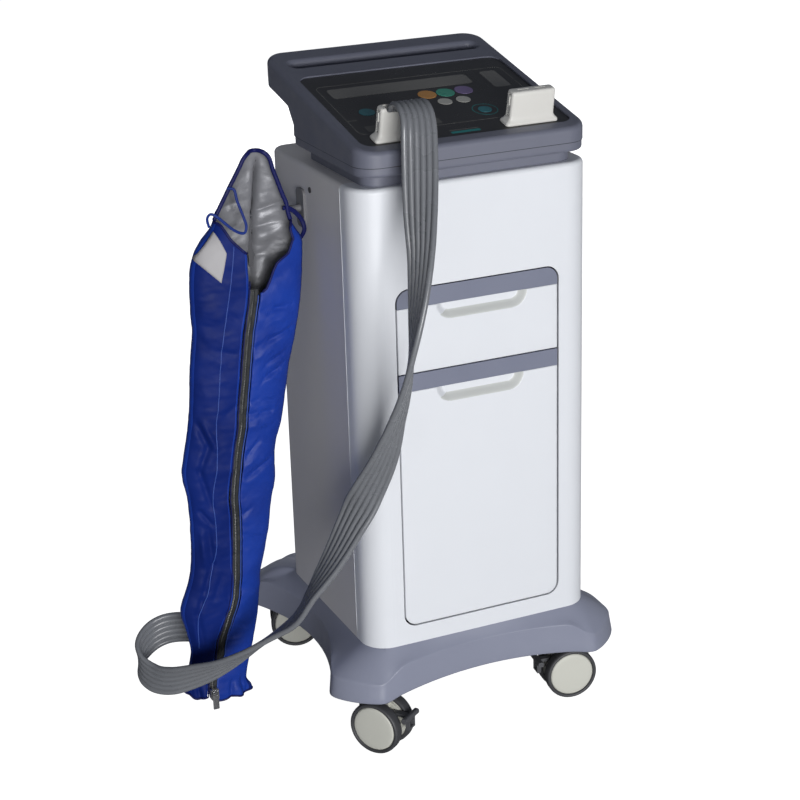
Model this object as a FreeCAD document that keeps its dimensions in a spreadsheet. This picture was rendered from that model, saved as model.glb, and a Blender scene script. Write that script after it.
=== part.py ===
import FreeCAD, Part
import os, math
import Sketcher
from FreeCAD import Vector as V, Placement, Rotation

# Compression therapy pump on a trolley, millimetres.
# Frame: origin on the floor under the middle of the cabinet, +Z up, +X to the
# right of somebody who faces the drawers, -Y towards that person.

doc = FreeCAD.newDocument("compression_pump")

# ---------------------------------------------------------------- sizes
sizes = [
    ("cab_half", 180, "cabinet half width"),
    ("cab_front", 159, "cabinet front face, distance from the middle"),
    ("cab_back", 159, "cabinet back face"),
    ("cab_low", 160, "cabinet foot height"),
    ("cab_top", 842, "cabinet top height"),
    ("cab_wall", 4, "cabinet wall"),
    ("cab_round", 38, "front corner radius"),
    ("cab_round_rear", 25, "rear corner radius"),
    ("seam_pos", 106, "seam between front shell and body, ahead of the middle"),
    ("open_half", 126.5, "drawer opening half width"),
    ("open_low", 187, "drawer opening, lower edge"),
    ("open_top", 698.2, "drawer opening, upper edge"),
    ("front_half", 124, "drawer front half width"),
    ("front_thick", 14, "drawer front thickness"),
    ("up_low", 575.5, "upper drawer front, lower edge"),
    ("up_strip", 670.3, "upper grip strip, lower edge"),
    ("up_top", 696.4, "upper grip strip, upper edge"),
    ("dn_low", 189, "lower drawer front, lower edge"),
    ("dn_strip", 548.9, "lower grip strip, lower edge"),
    ("dn_top", 574, "lower grip strip, upper edge"),
    ("scoop_deep", 9, "finger scoop depth"),
    ("tray_half", 118, "tray half width"),
    ("tray_back", 120, "tray rear wall"),
    ("tray_wall", 2.5, "tray wall"),
    ("base_low", 88, "base skirt bottom"),
    ("base_ridge", 137, "base skirt top"),
    ("base_mid", 45, "middle of the base, behind the middle of the cabinet"),
    ("leg_bx", 176, "leg end face, inner corner X"),
    ("leg_by", 232, "leg end face, inner corner Y from the base middle"),
    ("leg_ax", 238, "leg end face, outer corner X"),
    ("leg_ay", 171, "leg end face, outer corner Y from the base middle"),
    ("skirt_mid_front", 192, "front and rear skirt middle from the base middle"),
    ("skirt_mid_side", 184, "side skirt middle"),
    ("leg_round", 12, "rounding of the leg corners"),
    ("base_wall", 5, "base cover wall"),
    ("stem_x", 178, "caster stem X"),
    ("stem_front", 179, "front caster stem, ahead of the base middle"),
    ("stem_rear", 182, "rear caster stem, behind the base middle"),
    ("stem_rad", 5.5, "caster stem radius"),
    ("run_gap", 0.05, "running clearance on the radius"),
    ("wheel_rad", 40, "caster wheel radius"),
    ("hub_rad", 34.5, "caster hub disc radius"),
    ("wheel_in", 9, "inner face of each wheel from the caster middle"),
    ("wheel_out", 27, "outer face of each wheel from the caster middle"),
    ("trail", 23, "caster trail"),
    ("axle_rad", 4, "caster axle radius"),
    ("drum_rad", 34, "caster hood drum radius"),
    ("con_half", 173, "console half width"),
    ("con_front", 166, "console front face"),
    ("con_back", 85, "console rear wall"),
    ("con_rear", 192, "rear end of the grab bar"),
    ("con_low", 858, "lower case bottom"),
    ("con_seam", 872, "seam between the cases"),
    ("tilt", 12.4, "slope of the key panel, degrees"),
    ("pan_y", 145.2, "front edge of the key panel, ahead of the middle"),
    ("pan_z", 897.4, "front edge of the key panel, height"),
    ("pan_half", 157.5, "key panel half width"),
    ("pan_long", 243, "key panel length up the slope"),
    ("pan_sink", 2, "key panel surface below the rim"),
    ("pan_thick", 2, "key panel thickness"),
    ("slot_half", 148, "handle slot half length"),
    ("slot_near", 280, "handle slot, near edge up the slope"),
    ("slot_far", 303, "handle slot, far edge up the slope"),
    ("sock_x", 97.5, "outlet socket centre"),
    ("sock_v", 20, "outlet socket centre up the slope"),
    ("plug_half", 33.75, "plug body half width"),
    ("plug_half_v", 9, "plug body half depth"),
    ("plug_high", 46, "plug height above the rim plane"),
    ("key_lift", 0.4, "key top above the panel"),
    ("key_gap", 0.3, "gap round each key"),
    ("bar_rad", 5, "hanger bar radius"),
    ("bar_y", 34, "hanger bar Y"),
    ("bar_z", 778, "hanger bar height"),
    ("bar_end", 296, "hanger bar end, left of the middle"),
    ("sleeve_wall", 6, "leg sleeve wall"),
    ("hose_wide", 49, "hose width, six tubes side by side"),
    ("hose_thick", 8.4, "hose thickness, one tube"),
]
sheet = doc.addObject("Spreadsheet::Sheet", "Sizes")
value = {}
for row, (alias, number, note) in enumerate(sizes, 1):
    sheet.set("A%d" % row, note)
    sheet.set("B%d" % row, str(number))
    sheet.setAlias("B%d" % row, alias)
    value[alias] = float(number)
doc.recompute()


class Dim:
    """A number with the sheet expression that it comes from."""

    def __init__(self, text, number):
        self.text, self.number = text, float(number)

    def join(self, other, sign, flip=False):
        o = other if isinstance(other, Dim) else Dim(repr(float(other)), other)
        a, b = (o, self) if flip else (self, o)
        n = {"+": a.number + b.number, "-": a.number - b.number,
             "*": a.number * b.number, "/": a.number / (b.number or 1.0)}[sign]
        return Dim("(%s %s %s)" % (a.text, sign, b.text), n)

    def __add__(self, o): return self.join(o, "+")
    def __radd__(self, o): return self.join(o, "+", True)
    def __sub__(self, o): return self.join(o, "-")
    def __rsub__(self, o): return self.join(o, "-", True)
    def __mul__(self, o): return self.join(o, "*")
    def __rmul__(self, o): return self.join(o, "*", True)
    def __truediv__(self, o): return self.join(o, "/")
    def __neg__(self): return Dim("(0 - %s)" % self.text, -self.number)


class Cells:
    def __getattr__(self, alias):
        return Dim("Sizes." + alias, value[alias])


S = Cells()


def num(x):
    return x.number if isinstance(x, Dim) else float(x)


def bind(obj, prop, x):
    if isinstance(x, Dim):
        obj.setExpression(prop, x.text)


def base_at(obj, x, y, z, rot=Rotation()):
    obj.Placement = Placement(V(num(x), num(y), num(z)), rot)
    for axis, c in zip("xyz", (x, y, z)):
        bind(obj, "Placement.Base." + axis, c)
    return obj


def box(name, x0, x1, y0, y1, z0, z1):
    o = doc.addObject("Part::Box", name)
    for prop, a, b in (("Length", x0, x1), ("Width", y0, y1), ("Height", z0, z1)):
        setattr(o, prop, num(b - a))
        bind(o, prop, b - a)
    return base_at(o, x0, y0, z0)


TURN = {"z": Rotation(), "x": Rotation(V(0, 1, 0), 90), "y": Rotation(V(1, 0, 0), -90),
        "-z": Rotation(V(1, 0, 0), 180)}


def cyl(name, r, length, x, y, z, axis="z"):
    o = doc.addObject("Part::Cylinder", name)
    o.Radius, o.Height = num(r), num(length)
    bind(o, "Radius", r)
    bind(o, "Height", length)
    return base_at(o, x, y, z, TURN[axis])


def cone(name, r1, r2, length, x, y, z, axis="z"):
    o = doc.addObject("Part::Cone", name)
    o.Radius1, o.Radius2, o.Height = num(r1), num(r2), num(length)
    bind(o, "Radius1", r1)
    bind(o, "Radius2", r2)
    bind(o, "Height", length)
    return base_at(o, x, y, z, TURN[axis])


def fuse(name, *parts):
    o = doc.addObject("Part::MultiFuse", name)
    o.Shapes = list(parts)
    return o


def group(name, *parts):
    o = doc.addObject("Part::Compound", name)
    o.Links = list(parts)
    return o


def cut(name, a, *tools):
    o = doc.addObject("Part::Cut", name)
    o.Base = a
    o.Tool = tools[0] if len(tools) == 1 else fuse(name + "_tools", *tools)
    return o


def common(name, a, b):
    o = doc.addObject("Part::MultiCommon", name)
    o.Shapes = [a, b]
    return o


def edges_where(shape, test):
    found = []
    for i, e in enumerate(shape.Edges, 1):
        c = e.CenterOfMass
        a, b = e.Vertexes[0].Point, e.Vertexes[-1].Point
        if test(c, b - a, e):
            found.append(i)
    return found


def round_off(name, base, r, test):
    """Part::Fillet on the edges that the test picks."""
    doc.recompute()
    o = doc.addObject("Part::Fillet", name)
    o.Base = base
    o.Edges = [(i, num(r), num(r)) for i in edges_where(base.Shape, test)]
    doc.recompute()
    if o.Shape.isNull() or not o.Shape.isValid():
        raise RuntimeError("rounding failed: " + name)
    return o


def along(axis):
    k = "xyz".index(axis)

    def test(c, d, e):
        v = [abs(d.x), abs(d.y), abs(d.z)]
        return v[k] > 1e-6 and sum(v) - v[k] < 1e-6
    return test


def at(o, place):
    o.Placement = place
    return o


# ---------------------------------------------------------------- PartDesign helpers
def new_body(name):
    return doc.addObject("PartDesign::Body", name)


def plane(b, role):
    return [f for f in b.Origin.OriginFeatures if f.Role == role][0]


def fix_point(sk, geo, which, x, y):
    """Hold one end of a sketch line at (x, y) by dimensions from the origin."""
    for kind, c, axis in (("DistanceX", x, -2), ("DistanceY", y, -1)):
        if abs(num(c)) < 1e-9:
            sk.addConstraint(Sketcher.Constraint("PointOnObject", geo, which, axis))
        else:
            k = sk.addConstraint(Sketcher.Constraint(kind, -1, 1, geo, which, num(c)))
            bind(sk, "Constraints[%d]" % k, c)


def poly(b, name, role, pts, offset=0.0):
    """A closed polygon sketch on one of the body's own planes."""
    sk = b.newObject("Sketcher::SketchObject", name)
    sk.AttachmentSupport = (plane(b, role), [""])
    sk.MapMode = "FlatFace"
    sk.AttachmentOffset = Placement(V(0, 0, num(offset)), Rotation())
    bind(sk, "AttachmentOffset.Base.z", offset)
    n = len(pts)
    for i in range(n):
        a, c = pts[i], pts[(i + 1) % n]
        sk.addGeometry(Part.LineSegment(V(num(a[0]), num(a[1]), 0), V(num(c[0]), num(c[1]), 0)))
    for i in range(n):
        sk.addConstraint(Sketcher.Constraint("Coincident", i, 2, (i + 1) % n, 1))
    for i, p in enumerate(pts):
        fix_point(sk, i, 1, p[0], p[1])
    return sk


def rect(b, name, role, x0, x1, y0, y1, offset=0.0):
    return poly(b, name, role, [(x0, y0), (x1, y0), (x1, y1), (x0, y1)], offset)


def curves(b, name, role, geos, offset=0.0):
    """A closed sketch of lines and arcs."""
    sk = b.newObject("Sketcher::SketchObject", name)
    sk.AttachmentSupport = (plane(b, role), [""])
    sk.MapMode = "FlatFace"
    sk.AttachmentOffset = Placement(V(0, 0, num(offset)), Rotation())
    bind(sk, "AttachmentOffset.Base.z", offset)
    ends = []
    for g in geos:
        if len(g) == 2:
            sk.addGeometry(Part.LineSegment(V(*g[0], 0), V(*g[1], 0)))
            ends.append((1, 2))
        else:
            arc = Part.Arc(V(*g[0], 0), V(*g[1], 0), V(*g[2], 0))
            i = sk.addGeometry(arc)
            # a sketch arc runs counter-clockwise, so its ends may be swapped
            p = sk.getPoint(i, 1)
            ends.append((1, 2) if (p - V(*g[0], 0)).Length < 1e-4 else (2, 1))
    n = len(geos)
    for i in range(n):
        sk.addConstraint(Sketcher.Constraint("Coincident", i, ends[i][1], (i + 1) % n, ends[(i + 1) % n][0]))
    for i in range(n):
        sk.addConstraint(Sketcher.Constraint("Block", i))
    return sk


def pad(b, name, sk, length, reverse=False, mid=False):
    p = b.newObject("PartDesign::Pad", name)
    p.Profile = sk
    p.Length = num(length)
    bind(p, "Length", length)
    p.Reversed = reverse
    p.Midplane = mid
    doc.recompute()
    return p


def pocket(b, name, sk, length, reverse=False, mid=False):
    before = b.Shape.Volume
    p = b.newObject("PartDesign::Pocket", name)
    p.Profile = sk
    p.Length = num(length)
    bind(p, "Length", length)
    p.Reversed = reverse
    p.Midplane = mid
    doc.recompute()
    if not b.Shape.Volume < before - 1.0:
        raise RuntimeError("pocket cut nothing: " + name)
    return p


def pd_round(b, name, r, test):
    doc.recompute()
    prev = b.Tip
    picked = edges_where(prev.Shape, test)
    f = b.newObject("PartDesign::Fillet", name)
    f.Base = (prev, ["Edge%d" % i for i in picked])
    f.Radius = num(r)
    bind(f, "Radius", r)
    doc.recompute()
    if f.Shape.isNull() or not f.Shape.isValid():
        raise RuntimeError("rounding failed: " + name)
    return f


nodes = []


def node(name, obj):
    obj.Label = name
    nodes.append((name, obj))
    return obj


def feature(name, shape):
    o = doc.addObject("Part::Feature", name)
    o.Shape = shape
    o.Placement = Placement()
    return o


# the key panel's own frame: x across, y up the slope, z out of the panel
PANEL = Placement(V(0, -value["pan_y"], value["pan_z"]), Rotation(V(1, 0, 0), value["tilt"]))


def on_panel(obj):
    """Turn a piece drawn in the key panel's frame onto the console."""
    obj.Placement = PANEL
    bind(obj, "Placement.Base.y", -S.pan_y)
    bind(obj, "Placement.Base.z", S.pan_z)
    bind(obj, "Placement.Rotation.Angle", S.tilt)
    return obj


# ================================================================ base cover
def unit(x, y):
    n = math.hypot(x, y)
    return x / n, y / n


def base_outline(shrink=0.0):
    """Lines and arcs of the four-legged outline, counter-clockwise."""
    bx, by = value["leg_bx"] - shrink * 0.7, value["leg_by"] - shrink * 1.3
    ax, ay = value["leg_ax"] - shrink * 1.3, value["leg_ay"] - shrink * 0.7
    mf, ms = value["skirt_mid_front"] - shrink, value["skirt_mid_side"] - shrink
    r = max(value["leg_round"] - shrink, 5.0)
    cy = value["base_mid"]
    sf, ss = by - mf, ax - ms
    rf = (bx * bx + sf * sf) / (2 * sf)
    rs = (ay * ay + ss * ss) / (2 * ss)
    front_c, side_c = (0.0, -(mf + rf)), (ms + rs, 0.0)

    def corner(c, rad, p, q):
        # small round between the hollow arc (centre c) and the end face p-q
        dx, dy = unit(q[0] - p[0], q[1] - p[1])
        nx, ny = -dy, dx
        if nx * (0 - p[0]) + ny * (0 - p[1]) < 0:
            nx, ny = -nx, -ny
        ox, oy = p[0] + nx * r, p[1] + ny * r
        fx, fy = ox - c[0], oy - c[1]
        hb = fx * dx + fy * dy
        hc = fx * fx + fy * fy - (rad + r) ** 2
        root = math.sqrt(hb * hb - hc)
        s = max((-hb + root, -hb - root), key=lambda t: 1 if 0 < t < 60 else 0)
        m = (ox + dx * s, oy + dy * s)
        on_line = (p[0] + dx * s, p[1] + dy * s)
        k = rad / (rad + r)
        on_arc = (c[0] + (m[0] - c[0]) * k, c[1] + (m[1] - c[1]) * k)
        ux, uy = unit((on_line[0] + on_arc[0]) / 2 - m[0], (on_line[1] + on_arc[1]) / 2 - m[1])
        return on_arc, (m[0] + ux * r, m[1] + uy * r), on_line

    b, a = (bx, -by), (ax, -ay)
    fa, fm, fl = corner(front_c, rf, b, a)      # front arc to end face
    sa, sm, sl = corner(side_c, rs, a, b)       # side arc to end face
    q = {"fa": fa, "fm": fm, "fl": fl, "sl": sl, "sm": sm, "sa": sa}

    def mirror(p, mx, my):
        return (p[0] * mx, p[1] * my + cy)

    g = []
    fr = {k: mirror(p, 1, 1) for k, p in q.items()}
    rr = {k: mirror(p, 1, -1) for k, p in q.items()}
    rl = {k: mirror(p, -1, -1) for k, p in q.items()}
    fl_ = {k: mirror(p, -1, 1) for k, p in q.items()}
    g.append((fl_["fa"], (0.0, -mf + cy), fr["fa"]))
    g += [(fr["fa"], fr["fm"], fr["fl"]), (fr["fl"], fr["sl"]), (fr["sl"], fr["sm"], fr["sa"])]
    g.append((fr["sa"], (ms, cy), rr["sa"]))
    g += [(rr["sa"], rr["sm"], rr["sl"]), (rr["sl"], rr["fl"]), (rr["fl"], rr["fm"], rr["fa"])]
    g.append((rr["fa"], (0.0, mf + cy), rl["fa"]))
    g += [(rl["fa"], rl["fm"], rl["fl"]), (rl["fl"], rl["sl"]), (rl["sl"], rl["sm"], rl["sa"])]
    g.append((rl["sa"], (-ms, cy), fl_["sa"]))
    g += [(fl_["sa"], fl_["sm"], fl_["sl"]), (fl_["sl"], fl_["fl"]), (fl_["fl"], fl_["fm"], fl_["fa"])]
    return g


def foot_outline():
    """The cabinet's footprint as sixteen lines and arcs that match the base outline."""
    w, f, k = value["cab_half"], value["cab_front"], value["cab_back"]
    rf, rr = value["cab_round"], value["cab_round_rear"]

    def arc3(cx, cy, r, a0):
        out = []
        for j in range(3):
            t = [math.radians(a0 + 30 * j + d) for d in (0, 15, 30)]
            out.append(tuple((cx + r * math.cos(u), cy + r * math.sin(u)) for u in t))
        return out
    g = [((-w + rf, -f), (w - rf, -f))]
    g += arc3(w - rf, -f + rf, rf, -90)
    g.append(((w, -f + rf), (w, k - rr)))
    g += arc3(w - rr, k - rr, rr, 0)
    g.append(((w - rr, k), (-w + rr, k)))
    g += arc3(-w + rr, k - rr, rr, 90)
    g.append(((-w, k - rr), (-w, -f + rf)))
    g += arc3(-w + rf, -f + rf, rf, 180)
    return g


def wire_of(geos, z):
    es = []
    for g in geos:
        p = [V(c[0], c[1], z) for c in g]
        es.append(Part.makeLine(p[0], p[1]) if len(p) == 2 else Part.Arc(*p).toShape())
    return Part.Wire(es)


skirt = new_body("base_skirt")
pad(skirt, "skirt_pad", curves(skirt, "skirt_plan", "XY_Plane", base_outline(), S.base_low),
    S.base_ridge - S.base_low)
# the sloping top between the ridge and the cabinet's foot
crown = feature("base_crown", Part.makeLoft([wire_of(base_outline(), value["base_ridge"]),
                                             wire_of(foot_outline(), value["cab_low"])], True, True))
under = new_body("base_hollow")
pad(under, "hollow_pad", curves(under, "hollow_plan", "XY_Plane", base_outline(value["base_wall"]), S.base_low - 5),
    S.base_ridge - S.base_low)
crown_room = box("crown_room", -150, 150, -135, 145, 130, 154)
rear_room = box("rear_room", -140, 140, 140, 205, 130, 141)
base_raw = fuse("base_raw", skirt, crown)
base_cover = node("base_cover", cut("base_cover_cut", base_raw, under, crown_room, rear_room))

# ================================================================ chassis frame
cy = S.base_mid
tubes = []
stem_at = {"front": cy - S.stem_front, "rear": cy + S.stem_rear}
for tag, sign in (("front", -1), ("rear", 1)):
    yc = stem_at[tag]
    y0 = yc - 12.5 - 10 * sign
    tubes.append(box("frame_cross_" + tag, -S.stem_x + 8, S.stem_x - 8, y0, y0 + 25, 98, 123))
    for side, sx in (("left", -1), ("right", 1)):
        tubes.append(cyl("frame_socket_%s_%s" % (tag, side), 14, 38, S.stem_x * sx, yc, 92))
for side, sx in (("left", -1), ("right", 1)):
    tubes.append(box("frame_long_" + side, 108 * sx - 12.5, 108 * sx + 12.5,
                     stem_at["front"], stem_at["rear"], 98, 123))
    for tag, yy in (("front", -80.0), ("rear", 108.0)):
        tubes.append(cyl("frame_post_%s_%s" % (tag, side), 11, 31, 108 * sx, yy, 123))
frame_raw = fuse("frame_raw", *tubes)
bores = []
for tag, sign in (("front", -1), ("rear", 1)):
    for side, sx in (("left", -1), ("right", 1)):
        bores.append(cyl("frame_bore_%s_%s" % (tag, side), S.stem_rad + S.run_gap, 60,
                         S.stem_x * sx, stem_at[tag], 80))
node("chassis_frame", cut("chassis_cut", frame_raw, *bores))

# ================================================================ cabinet
body_cab = new_body("cabinet_body_raw")
pad(body_cab, "cab_pad", rect(body_cab, "cab_plan", "XY_Plane", -S.cab_half, S.cab_half,
                              -S.seam_pos + 0.4, S.cab_back, S.cab_low), S.cab_top - S.cab_low)
pd_round(body_cab, "cab_rear_round", S.cab_round_rear,
         lambda c, d, e: along("z")(c, d, e) and c.y > 100)
pocket(body_cab, "cab_inside", rect(body_cab, "cab_inside_plan", "XY_Plane",
                                    -S.cab_half + S.cab_wall, S.cab_half - S.cab_wall,
                                    -S.seam_pos - 5, S.cab_back - S.cab_round_rear, S.cab_low + S.cab_wall),
       S.cab_top - S.cab_low - S.cab_wall * 2, reverse=True)
pocket(body_cab, "cab_inside_rear", rect(body_cab, "cab_inside_rear_plan", "XY_Plane",
                                         -S.cab_half + S.cab_round_rear, S.cab_half - S.cab_round_rear,
                                         0, S.cab_back - S.cab_wall, S.cab_low + S.cab_wall),
       S.cab_top - S.cab_low - S.cab_wall * 2, reverse=True)
pd_round(body_cab, "cab_top_round", 7,
         lambda c, d, e: abs(c.z - value["cab_top"]) < 1e-3 and c.y > -value["seam_pos"] + 1)
screw_holes = []
for i, (sx, z) in enumerate([(-1, 810), (1, 810), (-1, 215), (1, 215)]):
    screw_holes.append(cyl("screw_hole_%d" % i, 2, 8, S.cab_half * sx - 4, 2, z, "x"))
for i, (x, z) in enumerate([(-120, 800), (120, 800), (-120, 200), (120, 200)]):
    screw_holes.append(cyl("screw_hole_back_%d" % i, 2, 8, x, S.cab_back - 4, z, "y"))
node("cabinet_body", cut("cabinet_body_cut", body_cab, *screw_holes))

front = new_body("cabinet_front_raw")
pad(front, "front_pad", rect(front, "front_plan", "XY_Plane", -S.cab_half, S.cab_half,
                             -S.cab_front, -S.seam_pos - 0.4, S.cab_low), S.cab_top - S.cab_low)
pd_round(front, "front_round", S.cab_round, lambda c, d, e: along("z")(c, d, e) and c.y < -150)
pocket(front, "front_inside", rect(front, "front_inside_plan", "XY_Plane",
                                   -S.cab_half + S.cab_wall, S.cab_half - S.cab_wall,
                                   -S.cab_front + S.cab_round, 0, S.cab_low + S.cab_wall),
       S.cab_top - S.cab_low - S.cab_wall * 2, reverse=True)
pocket(front, "front_inside_2", rect(front, "front_inside_2_plan", "XY_Plane",
                                     -S.cab_half + S.cab_round, S.cab_half - S.cab_round,
                                     -S.cab_front + S.cab_wall, 0, S.cab_low + S.cab_wall),
       S.cab_top - S.cab_low - S.cab_wall * 2, reverse=True)

def rounded_rect_geos(x0, x1, y0, y1, r_low, r_top):
    h = math.sqrt(0.5)
    g = []
    g.append(((x0 + r_low, y0), (x1 - r_low, y0)))
    if r_low:
        g.append(((x1 - r_low, y0), (x1 - r_low + r_low * h, y0 + r_low - r_low * h), (x1, y0 + r_low)))
    g.append(((x1, y0 + r_low), (x1, y1 - r_top)))
    if r_top:
        g.append(((x1, y1 - r_top), (x1 - r_top + r_top * h, y1 - r_top + r_top * h), (x1 - r_top, y1)))
    g.append(((x1 - r_top, y1), (x0 + r_top, y1)))
    if r_top:
        g.append(((x0 + r_top, y1), (x0 + r_top - r_top * h, y1 - r_top + r_top * h), (x0, y1 - r_top)))
    g.append(((x0, y1 - r_top), (x0, y0 + r_low)))
    if r_low:
        g.append(((x0, y0 + r_low), (x0 + r_low - r_low * h, y0 + r_low - r_low * h), (x0 + r_low, y0)))
    return g


hole = curves(front, "front_opening", "XZ_Plane",
              rounded_rect_geos(-value["open_half"], value["open_half"], value["open_low"],
                                value["open_top"], 20, 20))
pocket(front, "front_opening_cut", hole, 400, mid=True)
pd_round(front, "front_top_round", 7,
         lambda c, d, e: abs(c.z - value["cab_top"]) < 1e-3 and c.y < -value["seam_pos"] - 1)
node("cabinet_front", front)

# shelf, uprights and channel rails, one welded frame
rails = []
for side, sx in (("left", -1), ("right", 1)):
    for tag, z0, z1 in (("low", 164.0, 330.0), ("up", 556.0, 625.0)):
        rails.append(box("rail_%s_%s" % (tag, side), 125 * sx - 6, 125 * sx + 6, -135, 140, z0, z1))
    for tag, y0 in (("front", -100.0), ("rear", 128.0)):
        rails.append(box("upright_%s_%s" % (tag, side), 153 * sx - 22, 153 * sx + 22, y0, y0 + 3, 164, 625))
rails.append(box("frame_shelf", -175.5, 175.5, -100, 131, 553, 557))
grooves = []
for side, sx in (("left", -1), ("right", 1)):
    for tag, zc in (("low", 300.0), ("up", 600.0)):
        grooves.append(box("groove_%s_%s" % (tag, side), 122 * sx - 3.5, 122 * sx + 3.5, -140, 136, zc - 6, zc + 6))
node("drawer_frame", cut("drawer_frame_cut", fuse("drawer_frame_raw", *rails), *grooves))

# pan-head screws in the cabinet sides and back
screws = []
for i, (sx, z) in enumerate([(-1, 810), (1, 810), (-1, 215), (1, 215)]):
    screws.append(fuse("side_screw_%d" % i,
                       cyl("side_shank_%d" % i, 1.95, 9, S.cab_half * sx - (0 if sx < 0 else 9), 2, z, "x"),
                       cyl("side_head_%d" % i, 4.2, 1.3, S.cab_half * sx - (1.3 if sx < 0 else 0), 2, z, "x")))
for i, (x, z) in enumerate([(-120, 800), (120, 800), (-120, 200), (120, 200)]):
    screws.append(fuse("back_screw_%d" % i, cyl("back_shank_%d" % i, 1.95, 9, x, S.cab_back - 9, z, "y"),
                       cyl("back_head_%d" % i, 4.2, 1.3, x, S.cab_back, z, "y")))
node("cover_screws", group("cover_screw_group", *screws))

# ================================================================ drawers
y_face = -S.cab_front
y_in = -S.cab_front + S.front_thick


def drawer(prefix, low, strip, top, scoop0, scoop1, scoop_h, r_low, r_top, tray_low, tray_top, run_z):
    # front panel with a finger scoop that runs up under the grip strip
    p = new_body(prefix + "_panel_raw")
    sk = curves(p, prefix + "_panel_plan", "XZ_Plane",
                rounded_rect_geos(-value["front_half"], value["front_half"], num(low), num(strip) - 0.4, r_low, 0),
                S.cab_front)
    pad(p, prefix + "_panel_pad", sk, S.front_thick, reverse=True)
    s = value["scoop_deep"]
    z1 = num(strip) - 0.4
    sc = poly(p, prefix + "_scoop_plan", "XZ_Plane",
              [(scoop0 + 12, strip - scoop_h + s), (scoop1 - 12, strip - scoop_h + s),
               (scoop1 - 9, strip - scoop_h + s + 3), (scoop1 - 9, strip + 5),
               (scoop0 + 9, strip + 5), (scoop0 + 9, strip - scoop_h + s + 3)], S.cab_front)
    pocket(p, prefix + "_scoop", sc, S.scoop_deep)
    # sloping walls of the scoop
    wedge = Part.makeLoft([
        Part.makePolygon([V(scoop0 + 9, -value["cab_front"] + s, z1 + 3), V(scoop0 + 9, -value["cab_front"] + s, z1 - scoop_h + s),
                          V(scoop1 - 9, -value["cab_front"] + s, z1 - scoop_h + s), V(scoop1 - 9, -value["cab_front"] + s, z1 + 3),
                          V(scoop0 + 9, -value["cab_front"] + s, z1 + 3)]),
        Part.makePolygon([V(scoop0, -value["cab_front"] - 0.01, z1 + 3), V(scoop0, -value["cab_front"] - 0.01, z1 - scoop_h),
                          V(scoop1, -value["cab_front"] - 0.01, z1 - scoop_h), V(scoop1, -value["cab_front"] - 0.01, z1 + 3),
                          V(scoop0, -value["cab_front"] - 0.01, z1 + 3)])], True, True)
    w = feature(prefix + "_scoop_walls", wedge)
    w = round_off(prefix + "_scoop_soft", w, 8,
                  lambda c, d, e: c.z < z1 - scoop_h + s + 2 and abs(d.y) > 2)
    pn = cut(prefix + "_panel_cut", p, w)
    doc.recompute()
    node(prefix + "_panel", round_off(prefix + "_panel_soft", pn, 1.6,
                                      lambda c, d, e: abs(c.y + value["cab_front"]) < 1e-3 and
                                      abs(abs(c.x) - value["front_half"]) < 1e-3))
    # grip strip with a finger pocket in its lower edge
    g = new_body(prefix + "_grip_raw")
    sk = curves(g, prefix + "_grip_plan", "XZ_Plane",
                rounded_rect_geos(-value["front_half"], value["front_half"], num(strip), num(top), 0, r_top),
                S.cab_front)
    pad(g, prefix + "_grip_pad", sk, S.front_thick, reverse=True)
    pocket(g, prefix + "_grip_pocket",
           rect(g, prefix + "_grip_pocket_plan", "XY_Plane", scoop0 + 10, scoop1 - 10,
                -S.cab_front + 3.5, -S.cab_front + 10, strip), S.scoop_deep * 2, reverse=True)
    node(prefix + "_grip", g)
    # tray with a runner on each side
    t = new_body(prefix + "_tray_raw")
    pad(t, prefix + "_tray_pad", rect(t, prefix + "_tray_plan", "XY_Plane", -S.tray_half, S.tray_half,
                                      y_in, S.tray_back, tray_low), tray_top - tray_low)
    pd_round(t, prefix + "_tray_round", 8, lambda c, d, e: along("z")(c, d, e) and c.y > 0)
    pocket(t, prefix + "_tray_inside", rect(t, prefix + "_tray_in", "XY_Plane", -S.tray_half + S.tray_wall,
                                            S.tray_half - S.tray_wall, y_in + S.tray_wall,
                                            S.tray_back - 8, tray_low + S.tray_wall), 500, reverse=True)
    runs = [box("%s_runner_%s" % (prefix, side), 121.3 * sx - 3.4, 121.3 * sx + 3.4, -140, 112,
                run_z - 5.6, run_z + 5.6) for side, sx in (("left", -1), ("right", 1))]
    node(prefix + "_tray", fuse(prefix + "_tray_fuse", t, *runs))


drawer("drawer_upper", S.up_low, S.up_strip, S.up_top, -65.0, 77.0, 25.8, 0, 18, 580.0, 662.0, 600.0)
drawer("drawer_lower", S.dn_low, S.dn_strip, S.dn_top, -68.0, 71.0, 26.9, 18, 0, 200.0, 540.0, 300.0)

# ================================================================ casters
# Each is drawn about its own stem axis with the wheels trailing towards -Y,
# then turned and set under its leg.
caster_place = {}
for tag, sx, end, yaw in (("fl", -1, "front", 36.0), ("fr", 1, "front", -98.0), ("bl", -1, "rear", 72.0),
                          ("br", 1, "rear", 205.0)):
    caster_place[tag] = (S.stem_x * sx, stem_at[end], yaw)


def place_caster(o, tag):
    x, y, yaw = caster_place[tag]
    return base_at(o, x, y, 0.0, Rotation(V(0, 0, 1), yaw))


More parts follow.
